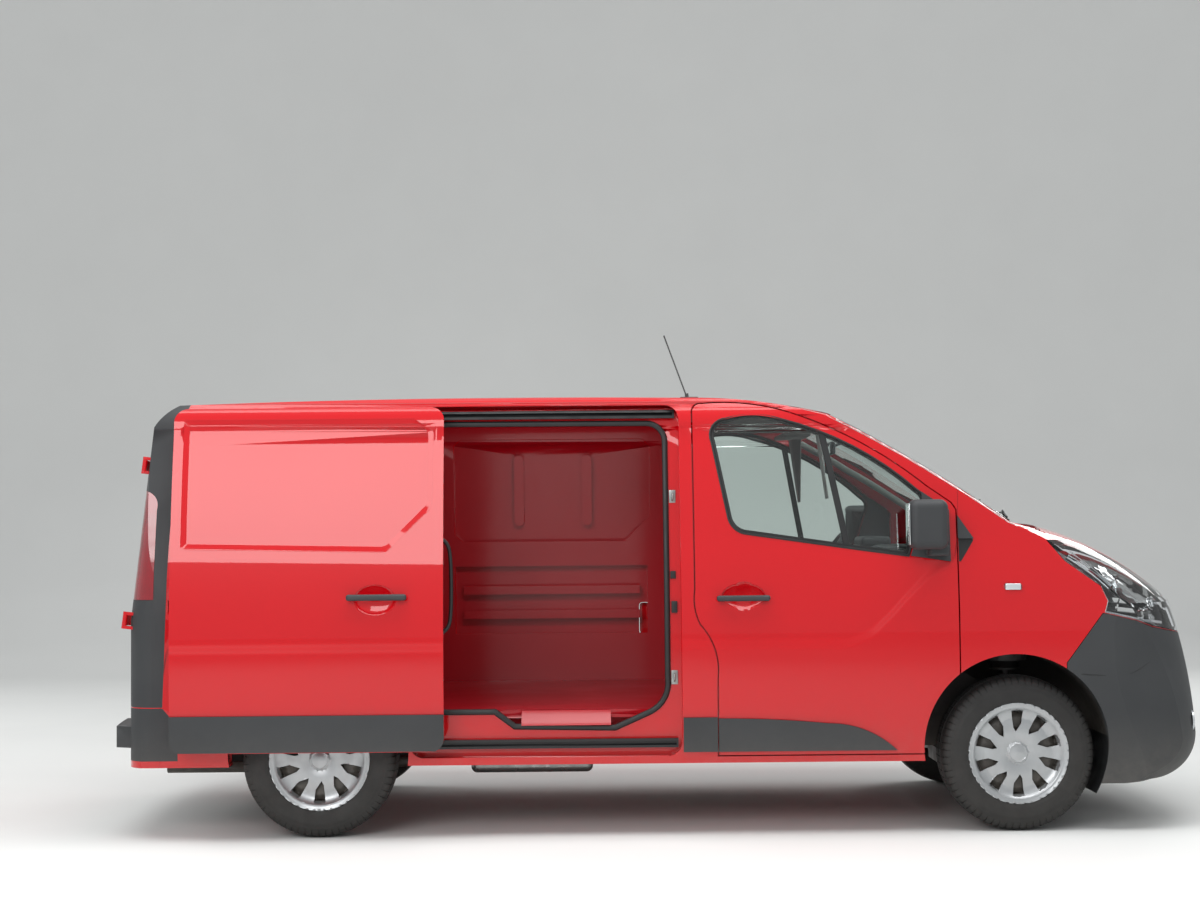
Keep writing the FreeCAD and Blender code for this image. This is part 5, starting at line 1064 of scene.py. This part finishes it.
@dataclass
class SideDoorway:
    """The open side doorway's seal and fittings, and the sliding door's small pieces."""

    seat: float = 14.0
    flank: float = 22.0

    def seal(self) -> bpy.types.Object:
        """The rubber bulb round the doorway, over its flange."""
        skin = Skin("side_right")
        loop = dense(SLIDE_APERTURE, 24.0)
        edge = offset_loop(loop, self.seat)
        rings = [(offset_loop(loop, d), lift) for d, lift in
                 ((15.0, 0.5), (14.0, 7.0), (9.0, 12.0), (2.0, 13.0), (-5.0, 9.0), (-7.0, 2.0), (-6.0, -12.0))]
        rows, level = [], -0.93
        for i, (x, z) in enumerate(edge):
            found = skin.side(x, z).y
            level = found if -0.99 < found < -0.6 else level
            rows.append([Vector((ring[i][0] * MM, level - lift * MM, ring[i][1] * MM)) for ring, lift in rings])
        return ribbon("doorway_seal", rows, 2.0, closed=True, towards=mm(-500, 0, 1100))

    def fittings(self) -> None:
        """Strikers, buffer and contact plate on the front post, and the tread plate on the sill."""
        skin = Skin("side_right")
        for name, x, z, width, height, proud, finish in (
                ("striker_plate_upper", 44.0, 1494.0, 30.0, 62.0, 4.0, ZINC),
                ("striker_plate_lower", 44.0, 694.0, 30.0, 62.0, 4.0, ZINC),
                ("door_buffer", 46.0, 1005.0, 26.0, 52.0, 14.0, SEAL),
                ("contact_plate", 42.0, 1147.0, 24.0, 34.0, 8.0, SEAL)):
            y = skin.side(x, z).y / MM
            piece = block(name, (x - width / 2, y - proud, z - height / 2),
                          (x + width / 2, y + 1.0, z + height / 2), 1.6)
            dress(piece, finish, "body")
        for name, z in (("striker_loop_upper", 1494.0), ("striker_loop_lower", 694.0)):
            y = skin.side(44.0, z).y / MM
            loop = tube(name, [mm(44, y - 2, z - 16), mm(44, y - 20, z - 14), mm(44, y - 20, z + 14),
                               mm(44, y - 2, z + 16)], 4.0)
            dress(loop, ZINC, "body")
        rows = [[mm(x, y, z) for y, z in ((-922, 488), (-915, 493), (-886, 520), (-868, 549))]
                for x in np.linspace(-636, -240, 14)]
        # The sill tread gets the inner enamel, its darker red painted shade.
        dress(ribbon("sill_tread", rows, 1.5, towards=mm(-440, -600, 300)), INNER_PAINT, "body")

    def pressed_window(self) -> bpy.types.Object:
        """The sloped flank round the sliding door's blank window."""
        skin = Skin("sliding_door")
        outline = curve_points([
            (24.0, 1770.0), ((22.0, 1640.0), (22.0, 1486.0)), ((14.0, 1456.0), (-5.0, 1434.0)), (-150.0, 1290.0),
            ((-172.0, 1270.0), (-200.0, 1262.0)), (-1078.0, 1281.0), (-1078.0, 1850.0), (-60.0, 1850.0),
            ((0.0, 1826.0), (24.0, 1770.0))])
        loop = dense([(x + SLIDE_BACK, z) for x, z in outline[:-1]], 30.0)
        outer, inner = offset_loop(loop, 3.0), offset_loop(loop, -self.flank)
        rows = [[skin.side(*a, 0.35), skin.side(*b, 0.35)] for a, b in zip(outer, inner)]
        return ribbon("pressed_window_flank", rows, 0.3, closed=True, towards=mm(-1500, 0, 1500))

    def build(self) -> None:
        """Builds the doorway's and the sliding door's pieces."""
        dress(self.seal(), SEAL, "body")
        self.fittings()
        dress(self.pressed_window(), PAINT, "body")
        grab = tube("sliding_door_grab", [mm(-985, -985, 1318), mm(-952, -975, 1300), mm(-941, -968, 1230),
                                          mm(-939, -966, 1105), mm(-941, -968, 985), mm(-952, -975, 918),
                                          mm(-985, -985, 900)], 9.0, 4)
        dress(grab, SEAL, "body")
        LOG.info("side doorway: seal, fittings and the sliding door's pieces")


@dataclass
class Lamps:
    """What sits behind the lamps' lenses, the side repeaters, the fog lamps and the high lamp."""

    def bowl(self, name: str, centre: Vector, axis: Vector, radius: float) -> bpy.types.Object:
        """A reflector bowl with its projector lens."""
        r = radius
        shell = [(-0.9 * r, 0.0), (-0.86 * r, 0.3 * r), (-0.55 * r, 0.72 * r), (0.0, r), (0.06 * r, r),
                 (0.06 * r, 0.94 * r), (-0.5 * r, 0.64 * r), (-0.78 * r, 0.26 * r), (-0.8 * r, 0.0)]
        obj = turned(name, shell, centre, axis, 40)
        lens = turned(name + "_lens", [(-0.5 * r, 0.0), (-0.5 * r, 0.5 * r), (-0.2 * r, 0.5 * r), (-0.06 * r, 0.4 * r),
                                       (0.04 * r, 0.2 * r), (0.07 * r, 0.0)], centre, axis, 32)
        lens.data.materials.append(material_of(CLEAR_OPTIC))
        return join(name, [obj, lens])

    def build(self) -> None:
        """Builds the lamps' inner pieces on both sides."""
        lens, wing, bumper = Skin("headlamps"), Skin("front_wings"), Skin("front_bumper")
        axis = Vector((0.86, -0.46, 0.2)).normalized()
        for name, px, py, sink, radius in (("low_beam", 1116.0, 588.0, 96.0, 44.0),
                                           ("high_beam", 1148.0, 606.0, 90.0, 34.0)):
            dress_pair(self.bowl(name + "_right", lens.seen(px, py, -sink), axis, radius), CHROME)
        for name, points, radius, sink, finish in (
                ("lamp_bezel", ((1066, 557), (1080, 566), (1094, 576), (1108, 588)), 13.0, 62.0, CHROME),
                ("day_light", ((1104, 612), (1122, 616), (1142, 621), (1158, 623)), 7.0, 56.0, CLEAR_OPTIC)):
            places = [p for p in (lens.seen(*p, -sink) for p in points) if p.y > LAMP_MISS_Y]
            dress_pair(tube(name + "_right", places, radius, 4), finish)
        y = wing.side(1542.0, 1082.0).y / MM
        dress_pair(block("repeater_right", (1508, y - 8.5, 1068.5), (1577, y - 0.5, 1096.5), 4.0, 4), CLEAR_OPTIC)
        plug = bumper.cast(mm(2700, -700, 462), Vector((-1, 0, 0)), 0.0)
        fog = turned("fog_lamp_right", [(1.0, 0.0), (1.0, 46.0), (9.0, 48.0), (10.0, 44.0), (5.0, 36.0), (9.0, 22.0),
                                        (10.0, 0.0)], plug, Vector((1, 0, 0)), 40)
        dress_pair(fog, CLEAR_OPTIC)
        leaf = Skin("rear_door_left")
        x = leaf.cast(mm(-3000, 0, 1846), Vector((1, 0, 0)), 0.0).x / MM
        dress(block("high_stop_lamp", (x - 11, -112, 1834), (x + 2, 112, 1856), 3.0), RED_LENS, "rear_door_l")
        LOG.info("lamps: reflectors, repeaters, fog lamps and stop lamp")


@dataclass
class Trims:
    """The small outside pieces: mirror glass, wing film, seams, plates, handle and wheel-arch shields."""

    shield_radius: float = 407.0

    def mirrors(self) -> None:
        """The mirror glasses and the films on the wings."""
        dress_pair(block("mirror_glass_right", (1061, -1126, 1272), (1066, -1030, 1452), 1.5), MIRROR, CAB_DOORS)
        wing = Skin("front_wings", "side_right")
        rows = []
        for z, front in ((1196.0, 1316.0), (1230.0, 1338.0), (1262.0, 1358.0), (1289.0, 1374.0), (1320.0, 1356.0),
                         (1350.0, 1338.0), (1378.0, 1321.0)):
            rows.append([wing.side(x, z, 1.2, start=1000.0) for x in np.linspace(1308.0, front, 6)])
        dress_pair(ribbon("wing_film_right", rows, 1.0, towards=mm(1330, 0, 1290)), SEAL)

    def screen_seal(self) -> None:
        """The black rubber along both sides of the windscreen."""
        edge = Skin("windscreen").rim(np.linspace(790.0, 1640.0, 18), np.arange(600.0, 960.0, 3.0))
        dress_pair(tube("screen_seal_right", [p + mm(0, -3.0, 0.5) for p in edge], 4.5), SEAL)

    def seams(self) -> None:
        """The bumper's seam line, a dark joint between its two mouldings."""
        bumper = Skin("front_bumper")
        line = [(1082, 674), (1105, 676), (1130, 675), (1146, 665), (1160, 653), (1176, 650), (1186, 650)]
        places = [p for p in (bumper.seen(*p) for p in line) if p.y > LAMP_MISS_Y]
        dress_pair(tube("bumper_seam_right", places, 2.2), SEAL)

    def shields(self) -> None:
        """The front wheel arches' lower shields, ahead of the tyres."""
        rows = [[mm(FRONT_ARCH_X + self.shield_radius * math.cos(a), y, ARCH_Z + self.shield_radius * math.sin(a))
                 for y in (-932, -800, -560)] for a in np.radians(np.linspace(6.0, -31.0, 10))]
        dress_pair(ribbon("arch_shield_right", rows, 2.5, towards=mm(2400, -700, 300)), SEAL)

    def plates(self) -> None:
        """Blank number plates on their holders, and the rear doors' handle."""
        leaf, bumper = Skin("rear_door_left"), Skin("front_bumper")
        ahead = Vector((1, 0, 0))
        x = min(leaf.cast(mm(-3000, y, 745), ahead, 0.0).x for y in (90, 344, 600)) / MM
        dress(block("rear_plate_holder", (x - 5, 80, 686), (x + 14, 608, 804), 2.5), SATIN_BLACK, "rear_door_l")
        dress(block("rear_plate", (x - 8, 86, 692), (x - 4, 602, 798), 1.2), PLATE, "rear_door_l")
        x = leaf.cast(mm(-3000, -86, 1010), ahead, 0.0).x / MM
        dress(block("rear_handle", (x - 24, -112, 930), (x + 2, -66, 1092), 9.0, 4), GREY_PLASTIC, "rear_door_l")
        x = max(bumper.cast(mm(3000, y, 640), -ahead, 0.0).x for y in (-250, 0, 250)) / MM
        dress(block("front_plate_holder", (x - 26, -264, 582), (x + 4, 264, 700), 2.5), SATIN_BLACK, "body")
        dress(block("front_plate", (x + 3, -258, 588), (x + 7, 258, 694), 1.2), PLATE, "body")

    def build(self) -> None:
        """Builds the small outside pieces."""
        self.mirrors()
        self.screen_seal()
        self.seams()
        self.shields()
        self.plates()
        LOG.info("trims: mirrors, films, seams, shields and plates")


@dataclass
class Cab:
    """The cab's trim: lining, pillars, mirror, visors, instrument hood, stalks and lever."""

    wheel: tuple = (880.0, 430.0, 1165.0)

    def lining(self) -> bpy.types.Object:
        """The felt headlining under the roof."""
        roof = Skin("roof_panel")
        up = Vector((0, 0, 1))
        rows = [[roof.cast(mm(x, y, 1500), up, 16.0) for y in np.linspace(-650, 650, 15)]
                for x in np.linspace(186, 770, 12)]
        return ribbon("headlining", rows, 5.0, towards=mm(500, 0, 2600))

    def pillar(self) -> bpy.types.Object:
        """The right windscreen pillar's inner cover."""
        edge = Skin("windscreen").rim(np.linspace(800.0, 1440.0, 9), np.arange(560.0, 960.0, 4.0))
        return tube("pillar_cover_right", [p + mm(-8, 34, -46) for p in edge], 17.0, 4)

    def build(self) -> None:
        """Builds the cab's trim."""
        dress(self.lining(), PALE_TRIM, "body")
        dress_pair(self.pillar(), PALE_TRIM)
        x, y, z = self.wheel
        dress(block("inner_mirror", (846, -118, 1706), (872, 118, 1768), 10.0, 4), CAB_PLASTIC, "body")
        dress(block("inner_mirror_glass", (843.5, -110, 1713), (847.5, 110, 1761), 1.5), MIRROR, "body")
        stem = [mm(868, 0, 1746), mm(920, 0, 1768), mm(985, 0, 1790)]
        dress(tube("inner_mirror_stem", stem, 7.0), CAB_PLASTIC, "body")
        for name, y0, y1 in (("visor_left", 150.0, 590.0), ("visor_right", -590.0, -150.0)):
            dress(block(name, (640, y0, 1806), (782, y1, 1826), 8.0), PALE_TRIM, "body")
        dress(block("instrument_hood", (1046, y - 160, 1246), (1196, y + 160, 1304), 22.0, 5), CAB_PLASTIC, "body")
        dress(block("instrument_panel", (1040, y - 140, 1190), (1050, y + 140, 1262), 4.0), SATIN_BLACK, "body")
        dress(block("centre_stack", (985, -110, 880), (1040, 130, 1190), 16.0, 4), CAB_PLASTIC, "body")
        dress(block("radio_panel", (979, -88, 1080), (987, 108, 1150), 3.0), SATIN_BLACK, "body")
        for i, (cy, cz) in enumerate(((770.0, 1160.0), (-770.0, 1160.0))):
            ring = [(0.0, 0.0), (0.0, 52.0), (14.0, 50.0), (15.0, 42.0), (6.0, 38.0), (8.0, 0.0)]
            vent = turned("vent_%d" % i, ring, mm(1010, cy, cz), Vector((-1, 0, 0)), 40)
            dress(vent, SILVER, "body")
        lever = tube("gear_lever", [mm(1000, 40, 900), mm(950, 40, 960), mm(922, 40, 1010)], 8.0)
        knob = turned("gear_knob", [(-24.0, 0.0), (-16.0, 18.0), (0.0, 24.0), (18.0, 20.0), (26.0, 0.0)],
                      mm(916, 40, 1024), Vector((-0.4, 0, 0.92)).normalized(), 28)
        dress(join("gear_lever", [lever, knob]), CAB_PLASTIC, "body")
        for name, way in (("stalk_left", 1.0), ("stalk_right", -1.0)):
            dress(tube(name, [mm(x + 62, y + way * 30, z - 40), mm(x + 56, y + way * 90, z - 34),
                              mm(x + 46, y + way * 165, z - 22)], 6.5), CAB_PLASTIC, "body")
        LOG.info("cab: lining, pillars, mirror, visors and dashboard pieces")


@dataclass
class Seats:
    """The driver's seat and the passengers' bench: swollen pads with sewn seams, on plain bases."""

    voxel: float = 10.0
    pressure: float = 4.0
    reach: float = 22.0
    frames: int = 20

    def swell(self, obj: bpy.types.Object) -> None:
        """Inflates a pad as foam under its cover, no point moving further than the reach."""
        activate(obj)
        obj.data.remesh_voxel_size = self.voxel * MM
        bpy.ops.object.voxel_remesh()
        rest = [v.co.copy() for v in obj.data.vertices]
        cloth = obj.modifiers.new("Cloth", "CLOTH")
        cloth.settings.use_pressure = True
        cloth.settings.uniform_pressure_force = self.pressure
        cloth.settings.effector_weights.gravity = 0.0
        cloth.point_cache.frame_end = self.frames
        for number in range(1, self.frames + 1):
            bpy.context.scene.frame_set(number)
        activate(obj)
        bpy.ops.object.modifier_apply(modifier=cloth.name)
        bpy.context.scene.frame_set(1)
        for vertex, start in zip(obj.data.vertices, rest):
            move = vertex.co - start
            if move.length > self.reach * MM:
                vertex.co = start + move.normalized() * self.reach * MM
        apply_modifier(obj, "SUBSURF", levels=1, render_levels=1)

    def sew(self, obj: bpy.types.Object, facing: Vector, seams: list[tuple[int, float]], depth: float = 7.0,
            width: float = 9.0) -> None:
        """Draws seams in where the pad faces a way.

        Args:
            obj: the pad.
            facing: the way its sewn side faces.
            seams: the axis across each seam and its place in millimetres.
            depth: how deep a seam lies.
            width: half the seam's width.
        """
        normals = [v.normal.copy() for v in obj.data.vertices]
        for vertex, normal in zip(obj.data.vertices, normals):
            turn = max(0.0, normal.dot(facing))
            pull = sum(math.exp(-((vertex.co[axis] / MM - at) / width) ** 2) for axis, at in seams)
            vertex.co -= normal * depth * MM * min(pull, 1.0) * min(1.0, 2.0 * turn)

    def cushion(self, name: str, y0: float, y1: float) -> bpy.types.Object:
        """One seat cushion."""
        obj = block(name, (292, y0 + 22, 722), (758, y1 - 22, 824), 26.0)
        self.swell(obj)
        self.sew(obj, Vector((0, 0, 1)), [(1, y0 + 96), (1, y1 - 96), (0, 640.0)])
        smooth(obj, 60.0)
        return obj

    def back(self, name: str, y0: float, y1: float) -> bpy.types.Object:
        """One seat back, leaning rearwards."""
        obj = block(name, (-30, y0 + 32, 850), (30, y1 - 32, 1386), 20.0)
        for vertex in obj.data.vertices:
            z = vertex.co.z / MM
            middle = np.interp(z, (800.0, 1100.0, 1390.0), (321.0, 280.0, 234.0))
            half = np.interp(z, (800.0, 1100.0, 1390.0), (38.0, 30.0, 14.0))
            vertex.co.x = (middle + vertex.co.x / MM / 30.0 * half) * MM
        self.swell(obj)
        self.sew(obj, Vector((1, 0, 0)), [(1, y0 + 96), (1, y1 - 96), (2, 1010.0), (2, 1210.0)])
        smooth(obj, 60.0)
        return obj

    def restraint(self, name: str, middle: float) -> bpy.types.Object:
        """One head restraint."""
        obj = block(name, (216, middle - 110, 1460), (242, middle + 110, 1570), 10.0)
        self.swell(obj)
        self.sew(obj, Vector((1, 0, 0)), [(1, middle - 84), (1, middle + 84)], 4.0)
        smooth(obj, 60.0)
        return obj

    def finish(self, obj: bpy.types.Object) -> None:
        """Dresses a pad and hides the CAD seats."""
        dress(obj, CLOTH, "body")
        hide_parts("seats")

    def build(self) -> None:
        """Builds the three places."""
        driver = [self.cushion("driver_cushion", 200.0, 720.0), self.back("driver_back", 200.0, 720.0),
                  self.restraint("driver_restraint", 460.0)]
        bench = [self.cushion("bench_cushion_outer", -800.0, -355.0), self.back("bench_back_outer", -800.0, -355.0)]
        width = Matrix.Translation(mm(0, 445, 0))
        for obj, name in zip(tuple(bench), ("bench_cushion_inner", "bench_back_inner")):
            twin = turned_copy(obj, width)
            twin.name = name
            bench.append(twin)
        for name, middle in (("bench_restraint_outer", -577.5), ("bench_restraint_inner", -132.5)):
            twin = turned_copy(driver[2], Matrix.Translation(mm(0, middle - 460.0, 0)))
            twin.name = name
            bench.append(twin)
        for obj in driver + bench:
            self.finish(obj)
        for name, y0, y1 in (("driver_seat_base", 240.0, 680.0), ("bench_seat_base", -760.0, 50.0)):
            base = dress(block(name, (332, y0, 452.4), (688, y1, 701), 12.0), CAB_PLASTIC, "body")
            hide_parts("seats")
        for i, middle in enumerate((460.0, -577.5, -132.5)):
            posts = [tube("post", [mm(226, middle + d, 1370), mm(229, middle + d, 1420),
                                   mm(231, middle + d, 1470)], 5.5)
                     for d in (-54.0, 54.0)]
            dress(join("restraint_posts_%d" % i, posts), ZINC, "body")
        LOG.info("seats: pads, bases and posts")


def main() -> None:
    """Builds the studio and the van's sub-assemblies in order."""
    for part in (Studio(), Shell(), RoadWheels(), Glazing(), SideDoorway(), Lamps(), Trims(), Cab(), Seats()):
        part.build()


if __name__ == "__main__":
    logging.basicConfig(level=logging.INFO, format="%(message)s")
    main()
